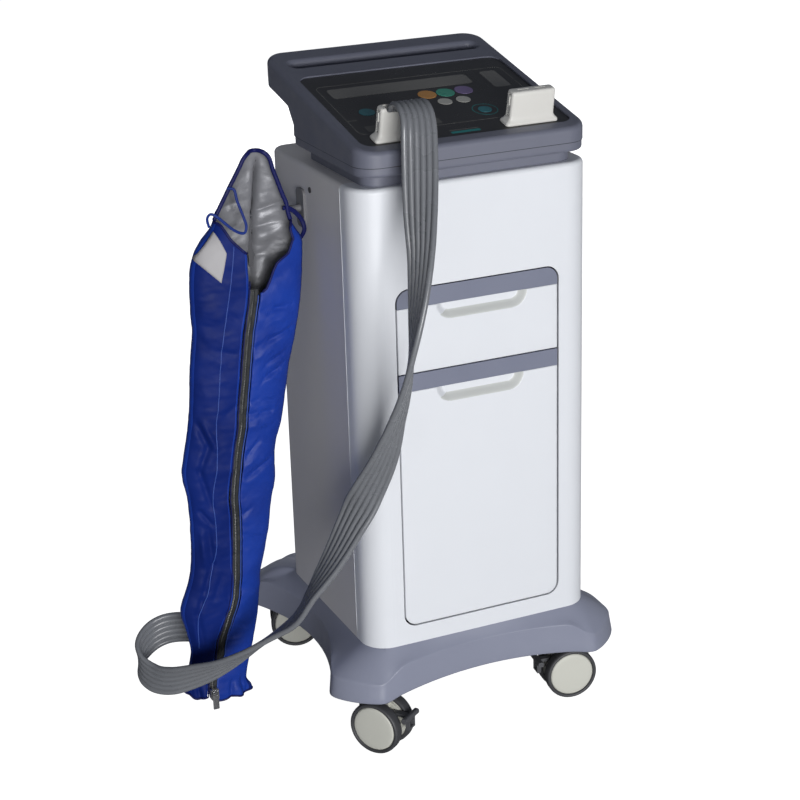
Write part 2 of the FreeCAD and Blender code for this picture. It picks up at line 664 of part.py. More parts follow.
for tag in ("fl", "fr", "bl", "br"):
    n = "caster_" + tag
    wr, t = S.wheel_rad, S.trail
    # housing: light drum between the wheels, neck and boss for the stem
    drum = cyl(n + "_drum", S.drum_rad, 16, -8, -t, wr, "x")
    neck = box(n + "_neck", -8, 8, -t + 6, 11, 44, 84)
    boss = fuse(n + "_boss", cyl(n + "_boss_low", 8.2, 21, 0, 0, 61), cyl(n + "_boss_top", 12.5, 3.8, 0, 0, 81.2))
    cap = cone(n + "_cap", 12.5, 9, 2.5, 0, 0, 85)
    hood = fuse(n + "_hood_raw", drum, neck, boss, cap)
    tools = [cyl(n + "_stem_hole", S.stem_rad, 60, 0, 0, 68), cyl(n + "_axle_hole", S.axle_rad, 40, -20, -t, wr, "x")]
    pedal = tag in ("fl", "fr")
    if pedal:
        tools.append(box(n + "_pedal_slot", -5.3, 5.3, -t - 40, -t - 11, 46, 90))
    h = cut(n + "_housing_cut", hood, *tools)
    if pedal:
        h = fuse(n + "_housing_pinned", h, cyl(n + "_pedal_pin", 1.5, 15, -7.5, -t - 20, 59, "x"))
    node(n + "_housing", place_caster(h, tag))
    pins = group(n + "_pin_group", cyl(n + "_stem", S.stem_rad, 58, 0, 0, 68),
                 cyl(n + "_axle", S.axle_rad, 53, -26.5, -t, wr, "x"))
    node(n + "_pins", place_caster(pins, tag))
    wheels, tyres = [], []
    for s, x0 in (("a", -S.wheel_out), ("b", S.wheel_in)):
        w = S.wheel_out - S.wheel_in
        wheels.append(cut("%s_hub_%s" % (n, s), cyl("%s_disc_%s" % (n, s), S.hub_rad, w, x0, -t, wr, "x"),
                          cyl("%s_bore_%s" % (n, s), S.axle_rad + S.run_gap, w + 4, x0 - 2, -t, wr, "x")))
        outer = cyl("%s_tread_%s" % (n, s), S.wheel_rad, w, x0, -t, wr, "x")
        inner = cyl("%s_seat_%s" % (n, s), S.hub_rad, w + 4, x0 - 2, -t, wr, "x")
        ring = cut("%s_ring_%s" % (n, s), outer, inner)
        tyres.append(round_off("%s_tyre_%s" % (n, s), ring, 2.5,
                               lambda c, d, e: e.Curve.TypeId == "Part::GeomCircle" and e.Curve.Radius > 37))
    node(n + "_wheels", place_caster(group(n + "_wheel_group", *wheels), tag))
    node(n + "_tyres", place_caster(group(n + "_tyre_group", *tyres), tag))
    if pedal:
        arm = box(n + "_arm", -4.6, 4.6, -t - 46, -t - 20, 58, 63)
        eye = cyl(n + "_eye", 4, 9.2, -4.6, -t - 20, 59, "x")
        bar = round_off(n + "_bar_soft", box(n + "_bar", -19, 19, -t - 52, -t - 43.5, 57, 65), 3,
                        lambda c, d, e: along("x")(c, d, e))
        ring = cut(n + "_ring_open", box(n + "_ring", -9, 9, -t - 50.5, -t - 44.5, 42, 60),
                   box(n + "_ring_hole", -5.5, 5.5, -t - 60, -t - 40, 45.5, 56.5))
        press = cut(n + "_press", fuse(n + "_pedal_fuse", arm, eye, bar, ring),
                    cyl(n + "_eye_hole", 1.55, 20, -10, -t - 20, 59, "x"))
        node(n + "_pedal", place_caster(press, tag))

# ================================================================ console
foot = new_body("console_plinth_raw")
pad(foot, "plinth_pad", rect(foot, "plinth_plan", "XY_Plane", -158, 158, -146, 68, S.cab_top), S.con_low - S.cab_top)
pd_round(foot, "plinth_round", 24, along("z"))
pocket(foot, "plinth_open", rect(foot, "plinth_in", "XY_Plane", -140, 140, -125, 47, S.cab_top - 1), 60, reverse=True)
node("console_plinth", foot)

low = new_body("console_lower_raw")
pad(low, "lower_pad", rect(low, "lower_plan", "XY_Plane", -S.con_half + 1.2, S.con_half - 1.2,
                           -S.con_front + 1.2, S.con_back - 1.2, S.con_low), S.con_seam - S.con_low)
pd_round(low, "lower_front_round", 31, lambda c, d, e: along("z")(c, d, e) and c.y < 0)
pd_round(low, "lower_rear_round", 15, lambda c, d, e: along("z")(c, d, e) and c.y > 0 and abs(c.x) > 165)
pd_round(low, "lower_edge_round", 5, lambda c, d, e: abs(c.z - value["con_low"]) < 1e-3)
pocket(low, "lower_inside", rect(low, "lower_in", "XY_Plane", -160, 160, -152, 76, S.con_low + 3), 60, reverse=True)
node("console_lower_case", low)


def slope(y, drop=0.0):
    """Height of the rim plane over a point, less a drop."""
    return S.pan_z - drop + (y + S.pan_y) * math.tan(math.radians(value["tilt"]))


up = new_body("console_outside")
pad(up, "upper_pad", poly(up, "upper_side", "YZ_Plane",
                          [(-S.con_front, S.con_seam), (S.con_back, S.con_seam), (S.con_back, 903),
                           (92, 911.5), (135, 920.7), (178, 929), (S.con_rear, 943),
                           (S.con_rear, slope(S.con_rear)), (-S.con_front, slope(-S.con_front))]),
    S.con_half * 2, mid=True)
pd_round(up, "upper_front_round", 32, lambda c, d, e: along("z")(c, d, e) and c.y < 0)
pd_round(up, "upper_rear_round", 30, lambda c, d, e: along("z")(c, d, e) and c.y > 180)
pd_round(up, "upper_heel_round", 15, lambda c, d, e: along("z")(c, d, e) and abs(c.y - value["con_back"]) < 1e-3)
inside = new_body("console_inside")
pad(inside, "inner_pad", poly(inside, "inner_side", "YZ_Plane",
                              [(-S.con_front + 3, 860), (S.con_back - 3, 860), (S.con_back - 3, slope(S.con_back - 3, 8)),
                               (-S.con_front + 3, slope(-S.con_front + 3, 8))]),
    S.con_half * 2 - 6, mid=True)
pd_round(inside, "inner_front_round", 29, lambda c, d, e: along("z")(c, d, e) and c.y < 0)
pd_round(inside, "inner_rear_round", 12, lambda c, d, e: along("z")(c, d, e) and c.y > 0)
tray_cut = on_panel(round_off("panel_seat", box("panel_seat_raw", -S.pan_half - 0.4, S.pan_half + 0.4, -0.4,
                                                S.pan_long + 0.4, -S.pan_sink - S.pan_thick, 20), 18.4, along("z")))
slot_cut = on_panel(round_off("handle_slot", box("handle_slot_raw", -S.slot_half, S.slot_half, S.slot_near,
                                                 S.slot_far, -80, 30), 11, along("z")))
sock_cuts = [on_panel(group("socket_holes", *[
    box("socket_hole_%s" % s, S.sock_x * sx - 35.5, S.sock_x * sx + 35.5, S.sock_v - 10.5, S.sock_v + 10.5, -12, 5)
    for s, sx in (("left", -1), ("right", 1))]))]
entry_cut = box("entry_hole", -90, -32, S.con_back - 10, S.con_back + 10, 874.5, 901.5)
vents = [box("vent_%d" % i, 20 + 9 * i, 24 + 9 * i, S.con_back - 10, S.con_back + 10, 877, 899) for i in range(12)]
case = cut("console_upper_cut", up, inside, tray_cut, slot_cut, *(sock_cuts + [entry_cut] + vents))
doc.recompute()


def rim_edges(c, d, e):
    # the outer rim on top, and the lower rim of the grab bar
    n = c.z - (value["pan_z"] + (c.y + value["pan_y"]) * math.tan(math.radians(value["tilt"])))
    if abs(n) > 0.02:
        return False
    return abs(c.x) > 172 or c.y < -165.5 or c.y > 191.5 or \
        (c.y > 150 and abs(c.x) > 150) or (c.y < -140 and abs(c.x) > 141)


def slot_edges(c, d, e):
    n = c.z - (value["pan_z"] + (c.y + value["pan_y"]) * math.tan(math.radians(value["tilt"])))
    return abs(n) < 0.02 and 127 < c.y < 152 and abs(c.x) < 149


console_rim = round_off("console_rim_soft", case, 8, rim_edges)
doc.recompute()
node("console_upper_case", round_off("console_upper_soft", console_rim, 7, slot_edges))

# key panel overlay, its windows and keys, all in the panel's frame
keys = [("key_orange", -0.4, 142.0, 13.5), ("key_green", 27.8, 141.5, 13.5), ("key_purple", 57.2, 143.0, 13.5),
        ("key_white_left", 13.9, 113.0, 10.5), ("key_white_right", 42.3, 113.0, 10.5),
        ("key_teal_left", -106.5, 109.4, 11.5), ("key_teal_right", 56.6, 73.0, 10.0)]
sheet_raw = round_off("overlay_raw", box("overlay_box", -S.pan_half, S.pan_half, 0.0, S.pan_long,
                                         -S.pan_sink - S.pan_thick, -S.pan_sink), 18, along("z"))
holes = [box("overlay_sock_%s" % s, S.sock_x * sx - 35.5, S.sock_x * sx + 35.5, S.sock_v - 10.5, S.sock_v + 10.5,
             -12, 5) for s, sx in (("left", -1), ("right", 1))]
holes.append(box("overlay_window_long", -136, 86, 160, 198, -12, 5))
holes.append(box("overlay_window_small", 104.6, 134, 136.5, 199, -12, 5))
for k, u, v, r in keys:
    holes.append(cyl("overlay_" + k, r + S.key_gap, 20, u, v, -12))
node("control_panel", on_panel(cut("control_panel_cut", sheet_raw, *holes)))
node("display_windows", on_panel(group("window_pair",
                                       box("window_long", -136, 86, 160, 198, -S.pan_sink - S.pan_thick, -S.pan_sink - 0.2),
                                       box("window_small", 104.6, 134, 136.5, 199, -S.pan_sink - S.pan_thick, -S.pan_sink - 0.2))))
for k, u, v, r in keys:
    c = cyl(k + "_disc", r, S.pan_thick - 0.6 + S.key_lift, u, v, -S.pan_sink - S.pan_thick + 0.6)
    node(k, on_panel(round_off(k + "_soft", c, 0.35,
                               lambda cc, d, e: e.Curve.TypeId == "Part::GeomCircle" and cc.z > -2)))

socks = []
for s, sx in (("left", -1), ("right", 1)):
    xc = S.sock_x * sx
    blk = box("socket_block_" + s, xc - 35.5, xc + 35.5, S.sock_v - 10.5, S.sock_v + 10.5, -24, -S.pan_sink)
    cav = box("socket_room_" + s, xc - 31, xc + 31, S.sock_v - 7, S.sock_v + 7, -20, 5)
    noz = [cyl("nozzle_%s_%d" % (s, i), 2.4, 5, xc + (i - 2.5) * 9.5, S.sock_v, -20) for i in range(6)]
    tub = [cyl("nozzle_bore_%s_%d" % (s, i), 1.3, 40, xc + (i - 2.5) * 9.5, S.sock_v, -35) for i in range(6)]
    socks.append(cut("socket_" + s, fuse("socket_raw_" + s, cut("socket_cup_" + s, blk, cav), *noz), *tub))
node("outlet_sockets", on_panel(group("socket_pair", *socks)))


def plug(name, sx, hollow):
    """Body with a flared foot and a nose that enters the socket."""
    xc = S.sock_x * sx
    b = round_off(name + "_body", box(name + "_body_raw", xc - S.plug_half, xc + S.plug_half,
                                      S.sock_v - S.plug_half_v, S.sock_v + S.plug_half_v, 2, S.plug_high), 4, along("z"))
    lo = 0.0 if hollow else 0.3
    flare = []
    for (z, w, d) in ((-value["pan_sink"] + lo, 39.5, 12), (2.0, 39.0, 11.6), (9.0, value["plug_half"], value["plug_half_v"])):
        x0 = num(xc)
        y0 = value["sock_v"]
        flare.append(Part.makePolygon([V(x0 - w, y0 - d, z), V(x0 + w, y0 - d, z), V(x0 + w, y0 + d, z),
                                       V(x0 - w, y0 + d, z), V(x0 - w, y0 - d, z)]))
    fl = feature(name + "_flare", Part.makeLoft(flare, True, True))
    fl = round_off(name + "_flare_soft", fl, 3.5, lambda c, d, e: abs(d.z) > 2)
    nose = box(name + "_nose", xc - 30.6, xc + 30.6, S.sock_v - 6.6, S.sock_v + 6.6, -13, 0)
    raw = fuse(name + "_raw", b, fl, nose)
    # room for the release lever in the outer side face
    face = xc - S.plug_half
    tools = [box(name + "_lever_room", face - 2, face + 4.75, S.sock_v - 3.6, S.sock_v + 3.6, 10, 42)]
    if hollow:
        tools.append(box(name + "_mouth", xc - 27, xc + 27, S.sock_v - 6.5, S.sock_v + 6.5, 12, 60))
        notch = round_off(name + "_notch", box(name + "_notch_raw", xc - 26.5, xc + 26.5, S.sock_v - 20, S.sock_v,
                                               34, 70), 8, lambda c, d, e: along("y")(c, d, e) and c.z < 40)
        tools.append(notch)
    else:
        for i in range(2):
            tools.append(box("%s_top_slot_%d" % (name, i), xc - 22 + 26 * i, xc - 4 + 26 * i, S.sock_v - 1.5, S.sock_v + 1.5,
                             S.plug_high - 1.5, 60))
    lever_pin = cyl(name + "_lever_pin", 0.7, 9, face + 1.6, S.sock_v - 4.5, 12.5, "y")
    node(name, on_panel(fuse(name + "_pinned", cut(name + "_cut", raw, *tools), lever_pin)))
    lev = box(name + "_lever_blade", face + 0.4, face + 2.2, S.sock_v - 3.0, S.sock_v + 3.0, 13, 40)
    eye = cyl(name + "_lever_eye", 1.5, 6, face + 1.6, S.sock_v - 3.0, 12.5, "y")
    pad_ = box(name + "_lever_pad", face - 0.9, face + 1.2, S.sock_v - 2.4, S.sock_v + 2.4, 26, 39)
    node(name + "_latch", on_panel(cut(name + "_lever", fuse(name + "_lever_raw", lev, eye, pad_),
                                       cyl(name + "_eye_bore", 0.75, 12, face + 1.6, S.sock_v - 6, 12.5, "y"))))


plug("hose_plug", -1, True)
plug("blanking_plug", 1, False)

# ================================================================ inside the console
comp = fuse("compressor_raw", box("compressor_block", 30, 140, -10, 60, 866, 896),
            cyl("compressor_motor", 17, 44, 40, 25, 893, "x"), cyl("compressor_head", 13, 36, 96, 25, 890, "x"),
            *[cyl("compressor_foot_%d" % i, 6, 5, 42 + 86 * (i % 2), 0 + 48 * (i // 2), 861) for i in range(4)])
node("compressor", comp)
man = [box("manifold_bar", -130, 130, 80, 108, -37, -17)]
man += [cyl("manifold_valve_%d" % i, 7, 7, -121 + 22 * i, 94, -17) for i in range(12)]
man += [cyl("manifold_post_%d" % i, 5, 22, -110 + 220 * i, 94, -56) for i in range(2)]
node("valve_manifold", on_panel(fuse("valve_manifold_raw", *man)))
hoses = []
for s, sx in (("left", -1), ("right", 1)):
    for i in range(6):
        hoses.append(cyl("air_tube_%s_%d" % (s, i), 2.6, 49.5, value["sock_x"] * sx + (i - 2.5) * 9.5, 30.5, -20, "y"))
node("air_tubes", on_panel(group("air_tube_set", *hoses)))
brd = [box("board_plate", -150, -5, -34, 50, 866, 868), box("board_transformer", -140, -105, -30, 5, 868, 893),
       box("board_heatsink", -95, -60, -30, -10, 868, 888), box("board_processor", -50, -30, 10, 30, 868, 871)]
brd += [cyl("board_capacitor_%d" % i, 6, 16, -90 + 16 * i, 30, 868) for i in range(3)]
brd += [cyl("board_post_%d" % i, 3, 5, -145 + 135 * (i % 2), -29 + 74 * (i // 2), 861) for i in range(4)]
node("main_board", fuse("main_board_raw", *brd))
entry = cut("entry_cut", fuse("entry_raw", box("entry_flange", -93, -29, S.con_back, S.con_back + 2, 872.8, 903.2 - 1.2),
                              box("entry_body", -90, -32, S.con_back - 21, S.con_back, 874.5, 901.5)),
            box("entry_mouth", -86, -60, S.con_back - 15, S.con_back + 5, 879.5, 896.5),
            box("entry_switch_room", -55, -37, S.con_back - 12, S.con_back + 5, 877.5, 898.5),
            cyl("entry_pivot_bore", 2.05, 23.4, -57.7, S.con_back - 4, 888, "x"))
pins_ = [box("entry_pin_%d" % i, -83 + 8 * i, -81 + 8 * i, S.con_back - 16, S.con_back - 3, 886, 890) for i in range(3)]
node("mains_inlet", fuse("mains_inlet_raw", entry, *pins_))
rk = fuse("rocker_raw", box("rocker_paddle", -54.5, -37.5, S.con_back - 1.5, S.con_back + 3.0, 880.5, 895.5),
          cyl("rocker_axle", 2.0, 23, -57.5, S.con_back - 4, 888, "x"),
          box("rocker_web", -54.5, -37.5, S.con_back - 4, S.con_back - 1.4, 886.2, 889.8))
rk = round_off("rocker_soft", rk, 1.2, lambda c, d, e: along("x")(c, d, e) and c.y > value["con_back"] + 2.9)
rock_mid = V(0, value["con_back"] - 4, 888)
rk.Placement = Placement(V(), Rotation(V(1, 0, 0), -10), rock_mid)
node("rocker_switch", rk)

# ================================================================ hanger and straps
plate = round_off("hanger_plate", box("hanger_plate_raw", -S.cab_half - 4, -S.cab_half, S.bar_y - 14, S.bar_y + 14,
                                      S.bar_z - 28, S.bar_z + 28), 8, along("x"))
barx = cyl("hanger_bar", S.bar_rad, S.bar_end - S.cab_half - 4, -S.bar_end, S.bar_y, S.bar_z, "x")
knob = cyl("hanger_stop", 7, 5, -S.bar_end - 5, S.bar_y, S.bar_z, "x")
node("sleeve_hanger", fuse("hanger_raw", plate, barx, knob))
loops = []
for i, (x, y0) in enumerate(((-238.0, 19.0), (-260.0, 21.8), (-282.0, 22.8))):
    tail = box("strap_tail_%d" % i, x - 9, x + 9, 26.4, 28.7, S.bar_z - 72, S.bar_z - 3)
    tail.Placement = Placement(V(x - 9, y0, num(S.bar_z) - 72),
                               Rotation(V(1, 0, 0), -math.degrees(math.atan((26.6 - y0) / 69))))
    outer = fuse("strap_raw_%d" % i, cyl("strap_ring_%d" % i, S.bar_rad + 2.3, 18, x - 9, S.bar_y, S.bar_z, "x"), tail)
    loops.append(cut("strap_%d" % i, outer, cyl("strap_eye_%d" % i, S.bar_rad + 0.3, 30, x - 15, S.bar_y, S.bar_z, "x")))
node("sleeve_straps", group("strap_set", *loops))

# ================================================================ leg sleeve
# flattened tube, given by its middle and half axes at several heights; closed
# round the leg, open at the top and at the foot
stations = [(55, -374, 46, 13), (69, -372, 49, 15), (133, -357, 47, 16), (214, -352, 61, 18), (314, -331, 61, 20),
            (409, -327, 72, 21), (491, -311, 71, 22), (620, -290, 78, 23), (705, -283, 84, 24), (765, -273, 64, 23),
            (800, -268, 50, 20), (845, -265, 30, 15), (876, -263, 15, 10)]


def tube_wires(stations_, less, z_low, z_top):
    wires = []
    for k, (z, x, a, b) in enumerate(stations_):
        if k == 0:
            z = z_low
        if k == len(stations_) - 1:
            z = z_top
        aa, bb = max(a - less, 4.0), max(b - less, 3.0)
        wires.append(Part.Wire([Part.Ellipse(V(x, 0, z), aa, bb).toShape()]))
    return wires


sleeve_out = Part.makeLoft(tube_wires(stations, 0, 55, 876), True, False)
sleeve_in = Part.makeLoft(tube_wires(stations, value["sleeve_wall"], 50, 882), True, False)
gap = Part.Face(Part.makePolygon([V(-322, -60, 800), V(-320, -60, 850), V(-205, -60, 850), V(-212, -60, 800),
                                  V(-262, -60, 692), V(-322, -60, 800)])).extrude(V(0, 58, 0))
node("leg_sleeve", feature("leg_sleeve_shape", sleeve_out.cut(sleeve_in).cut(gap)))
port = round_off("sleeve_port_soft", box("sleeve_port_raw", -393, -352, 11, 42, 138, 190), 3, along("x"))
node("sleeve_port", port)
sl = round_off("zip_slider_soft", box("zip_slider_raw", -383, -371, -24.5, -14.2, 66, 84), 2, along("y"))
lug = box("zip_slider_lug", -379, -375, -27.5, -24, 76, 82)
node("zip_slider", cut("zip_slider_cut", fuse("zip_slider_fuse", sl, lug),
                       cyl("zip_lug_hole", 0.9, 10, -382, -26.2, 79.5, "x")))
tab = round_off("zip_tab_soft", box("zip_tab", -381.5, -372.5, -27.2, -25.4, 52, 77.5), 0.8, along("y"))
tab2 = cut("zip_tab_open", tab, box("zip_tab_hole", -379.4, -374.6, -30, -20, 74.5, 90))
pin = cyl("zip_pin", 0.85, 9, -381.5, -26.2, 79.5, "x")
ears = [box("zip_ear_%d" % i, -381.5 + 6.9 * i, -379.4 + 6.9 * i, -27.05, -25.4, 76, 80.3) for i in range(2)]
node("zip_pull", fuse("zip_pull_fuse", tab2, pin, *ears))

# ================================================================ hose
# route of the middle line; straight runs joined by tangent arcs, and at each
# point the direction of the flat hose's width
route = [
    ((-96.5, -127.4, 911.5), (1, 0, 0)),
    ((-96.5, -132.6, 935.6), (1, 0, 0)),
    ((-96.5, -149.9, 953.0), (1, 0, 0)),
    ((-96.7, -172.0, 952.4), (1, 0, 0)),
    ((-98.0, -189.5, 937.0), (1, -0.1, 0)),
    ((-102.2, -199.0, 902.0), (0.93, -0.35, 0.03)),
    ((-108.4, -211.5, 857.5), (0.83, -0.56, 0.04)),
    ((-117.2, -229.0, 806.5), (0.60, -0.79, 0.12)),
    ((-122.5, -240.5, 770.0), (0.36, -0.91, 0.18)),
    ((-133.7, -254.3, 720.0), (0.12, -0.97, 0.19)),
    ((-141.6, -259.8, 683.2), (-0.12, -0.98, 0.10)),
    ((-147.2, -259.2, 646.2), (-0.36, -0.92, 0.00)),
    ((-151.4, -254.4, 612.0), (-0.54, -0.84, -0.10)),
    ((-155.4, -244.5, 576.0), (-0.70, -0.69, -0.14)),
    ((-162.0, -226.4, 530.8), (-0.84, -0.52, -0.08)),
    ((-171.9, -206.2, 473.2), (-0.95, -0.15, 0.18)),
    ((-190.8, -187.0, 422.0), (-0.86, 0.22, 0.42)),
    ((-204.5, -171.5, 382.5), (-0.40, 0.82, 0.40)),
    ((-232.5, -160.4, 322.5), (-0.04, 0.96, 0.28)),
    ((-264.5, -149.8, 271.0), (0.32, 0.94, 0.08)),
    ((-282.0, -139.6, 230.6), (0.46, 0.88, 0.02)),
    ((-308.0, -120.5, 205.5), (0.60, 0.77, -0.16)),
    ((-342.0, -98.2, 175.6), (0.67, 0.68, -0.30)),
    ((-374.5, -78.0, 150.5), (0.67, 0.50, -0.55)),
    ((-405.5, -55.5, 132.0), (0.52, 0.24, -0.80)),
    ((-443.9, -28.0, 115.2), (0.1, 0.15, -1.0)),
    ((-464.3, -6.0, 114.4), (0, 0, -1)),
    ((-475.0, 16.0, 124.5), (0, 0, -1)),
    ((-468.8, 36.0, 143.3), (0, 0, -1)),
    ((-443.4, 50.0, 157.1), (0, 0, -1)),
    ((-413.0, 46.0, 164.9), (0, 0, -1)),
    ((-391.0, 32.0, 164.5), (0, 0, -1)),
]


def hose_solid(points, wide, thick, step=9.0):
    pts = [V(*p) for p, w in points]
    wid = [V(*w) for p, w in points]
    n = len(pts)
    runs = [(pts[i + 1] - pts[i]).Length for i in range(n - 1)]
    line = []                       # (position, tangent, parameter along the route)
    length = 0.0
    last = pts[0]
    line.append((pts[0], (pts[1] - pts[0]).normalize(), 0.0))
    radii = []
    for i in range(1, n - 1):
        a = (pts[i] - pts[i - 1]).normalize()
        b = (pts[i + 1] - pts[i]).normalize()
        turn = math.acos(max(-1.0, min(1.0, a.dot(b))))
        back = 0.45 * min(runs[i - 1], runs[i])
        r = back / math.tan(turn / 2)
        radii.append(r)
        s = pts[i] - a * back
        e = pts[i] + b * back
        # straight run up to the arc
        m = max(1, int((s - last).Length / step))
        for k in range(1, m + 1):
            f = k / m
            p = last + (s - last) * f
            u = (p - pts[i - 1]).Length / runs[i - 1]
            line.append((p, V(a), (i - 1) + u))
        length += (s - last).Length
        m = max(3, int(r * turn / step) + 1)
        side = (b - a * a.dot(b)).normalize()
        for k in range(1, m + 1):
            t = turn * k / m
            p = s + a * (r * math.sin(t)) + side * (r * (1 - math.cos(t)))
            tg = a * math.cos(t) + side * math.sin(t)
            f = k / m
            u = i + (f - 0.5) * (back / (runs[i - 1] if f < 0.5 else runs[i])) * 2
            line.append((p, tg, u))
        length += r * turn
        last = e
    m = max(1, int((pts[-1] - last).Length / step))
    tg = (pts[-1] - pts[-2]).normalize()
    for k in range(1, m + 1):
        f = k / m
        p = last + (pts[-1] - last) * f
        line.append((p, tg, (n - 2) + (p - pts[-2]).Length / runs[-1]))
    length += (pts[-1] - last).Length
    rings = []
    for p, tg, u in line:
        i = min(int(u), n - 2)
        f = u - i
        w = wid[i] * (1 - f) + wid[i + 1] * f
        w = (w - tg * w.dot(tg)).normalize()
        h = tg.cross(w).normalize()
        w = w * (wide / 2)
        h = h * (thick / 2)
        rings.append([p - w - h, p + w - h, p + w + h, p - w + h])
    faces = []

    def tri(a, b, c):
        faces.append(Part.Face(Part.makePolygon([a, b, c, a])))
    for r0, r1 in zip(rings, rings[1:]):
        for k in range(4):
            a, b, c, d = r0[k], r0[(k + 1) % 4], r1[(k + 1) % 4], r1[k]
            if k == 2:              # same diagonal as on the other face
                tri(a, b, d)
                tri(b, c, d)
            else:
                tri(a, b, c)
                tri(a, c, d)
    for r in (rings[0], rings[-1]):
        tri(r[0], r[1], r[2])
        tri(r[0], r[2], r[3])
    solid = Part.Solid(Part.Shell(faces))
    if solid.Volume < 0:
        solid.reverse()
    print("hose: length %.1f, smallest radius %.1f, radii %s" % (length, min(radii), " ".join("%.0f" % r for r in radii)))
    print("hose: volume %.0f, section times length %.0f" % (solid.Volume, wide * thick * length))
    return solid


node("leg_hose", feature("leg_hose_shape", hose_solid(route, value["hose_wide"], value["hose_thick"])))

# ================================================================ check and write
doc.recompute()
bad = []
for o in doc.Objects:
    if "Invalid" in o.State or "Error" in o.State:
        bad.append("%s is in state %s" % (o.Name, o.State))
for name, o in nodes:
    sh = o.Shape
    if sh.isNull() or not sh.isValid() or not sh.Solids:
        bad.append("%s has no valid shape" % name)
if bad:
    raise RuntimeError("; ".join(bad))
os.makedirs("parts", exist_ok=True)
for name, o in nodes:
    o.Shape.exportStep("parts/%s.step" % name)
    bb = o.Shape.BoundBox
    print("%-22s solids %2d  x %7.1f %7.1f  y %7.1f %7.1f  z %6.1f %6.1f  %.0f cm3" % (
        name, len(o.Shape.Solids), bb.XMin, bb.XMax, bb.YMin, bb.YMax, bb.ZMin, bb.ZMax, o.Shape.Volume / 1000))
print(len(nodes), "nodes")
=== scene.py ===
import bpy, bmesh, math
from mathutils import Vector, Matrix, noise


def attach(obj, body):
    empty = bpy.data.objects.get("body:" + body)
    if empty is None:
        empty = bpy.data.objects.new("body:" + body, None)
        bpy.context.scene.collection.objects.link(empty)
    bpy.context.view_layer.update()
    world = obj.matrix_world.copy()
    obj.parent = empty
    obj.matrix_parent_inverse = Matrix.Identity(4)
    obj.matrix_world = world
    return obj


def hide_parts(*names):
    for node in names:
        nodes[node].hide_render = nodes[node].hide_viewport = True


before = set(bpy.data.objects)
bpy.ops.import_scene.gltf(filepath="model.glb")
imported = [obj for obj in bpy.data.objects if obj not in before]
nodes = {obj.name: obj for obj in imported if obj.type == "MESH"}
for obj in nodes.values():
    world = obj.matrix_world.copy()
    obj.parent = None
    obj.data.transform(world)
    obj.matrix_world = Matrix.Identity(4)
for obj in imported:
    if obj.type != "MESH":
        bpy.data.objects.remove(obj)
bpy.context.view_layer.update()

scene = bpy.context.scene
MM = 0.001


# ------------------------------------------------------------------ mesh helpers
def lerp(a, b, t):
    return a + (b - a) * t


def table(rows, x):
    """Smooth look-up: rows of (x, v1, v2, ...), sorted by x; returns the values at x."""
    if x <= rows[0][0]:
        return list(rows[0][1:])
    if x >= rows[-1][0]:
        return list(rows[-1][1:])
    for i in range(len(rows) - 1):
        if rows[i][0] <= x <= rows[i + 1][0]:
            break
    x0, x1 = rows[i][0], rows[i + 1][0]
    t = (x - x0) / (x1 - x0)
    out = []
    for k in range(1, len(rows[0])):
        p0 = rows[max(i - 1, 0)][k]
        p1, p2 = rows[i][k], rows[i + 1][k]
        p3 = rows[min(i + 2, len(rows) - 1)][k]
        xa, xb = rows[max(i - 1, 0)][0], rows[min(i + 2, len(rows) - 1)][0]
        m1 = (p2 - p0) / (x1 - xa) * (x1 - x0)
        m2 = (p3 - p1) / (xb - x0) * (x1 - x0)
        t2, t3 = t * t, t * t * t
        out.append((2 * t3 - 3 * t2 + 1) * p1 + (t3 - 2 * t2 + t) * m1 + (3 * t2 - 2 * t3) * p2 + (t3 - t2) * m2)
    return out


def smooth01(t):
    t = max(0.0, min(1.0, t))
    return t * t * (3 - 2 * t)


def make(name, verts, faces, mats, body="body", smooth=True, face_mats=None, uvs=None):
    me = bpy.data.meshes.new(name)
    me.from_pydata([(v[0] * MM, v[1] * MM, v[2] * MM) for v in verts], [], faces)
    me.update()
    o = bpy.data.objects.new(name, me)
    scene.collection.objects.link(o)
    for m in mats:
        me.materials.append(m)
    me.polygons.foreach_set("use_smooth", [smooth] * len(me.polygons))
    if face_mats:
        me.polygons.foreach_set("material_index", face_mats)
    if uvs:
        layer = me.uv_layers.new(name="UVMap")
        for p in me.polygons:
            for li in p.loop_indices:
                layer.data[li].uv = uvs[me.loops[li].vertex_index]
    bm = bmesh.new()
    bm.from_mesh(me)
    bmesh.ops.remove_doubles(bm, verts=bm.verts, dist=1e-7)
    bmesh.ops.recalc_face_normals(bm, faces=bm.faces)
    bm.to_mesh(me)
    bm.free()
    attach(o, body)
    return o


def grid_faces(rows, cols, wrap=False, flip=False):
    out = []
    for i in range(rows - 1):
        for j in range(cols if wrap else cols - 1):
            a, b = i * cols + j, i * cols + (j + 1) % cols
            c, d = (i + 1) * cols + (j + 1) % cols, (i + 1) * cols + j
            out.append((a, d, c, b) if flip else (a, b, c, d))
    return out


def bevel(o, width, segments=3, angle=35, harden=True):
    m = o.modifiers.new("soft_edges", "BEVEL")
    m.width = width * MM
    m.segments = segments
    m.limit_method = "ANGLE"
    m.angle_limit = math.radians(angle)
    m.use_clamp_overlap = True
    m.harden_normals = harden
    return m


def subdiv(o, levels=1):
    m = o.modifiers.new("smooth_surface", "SUBSURF")
    m.levels = levels
    m.render_levels = levels
    return m


def smooth_by_angle(o, angle=35):
    me = o.data
    me.polygons.foreach_set("use_smooth", [True] * len(me.polygons))
    try:
        me.set_sharp_from_angle(angle=math.radians(angle))
    except AttributeError:
        pass


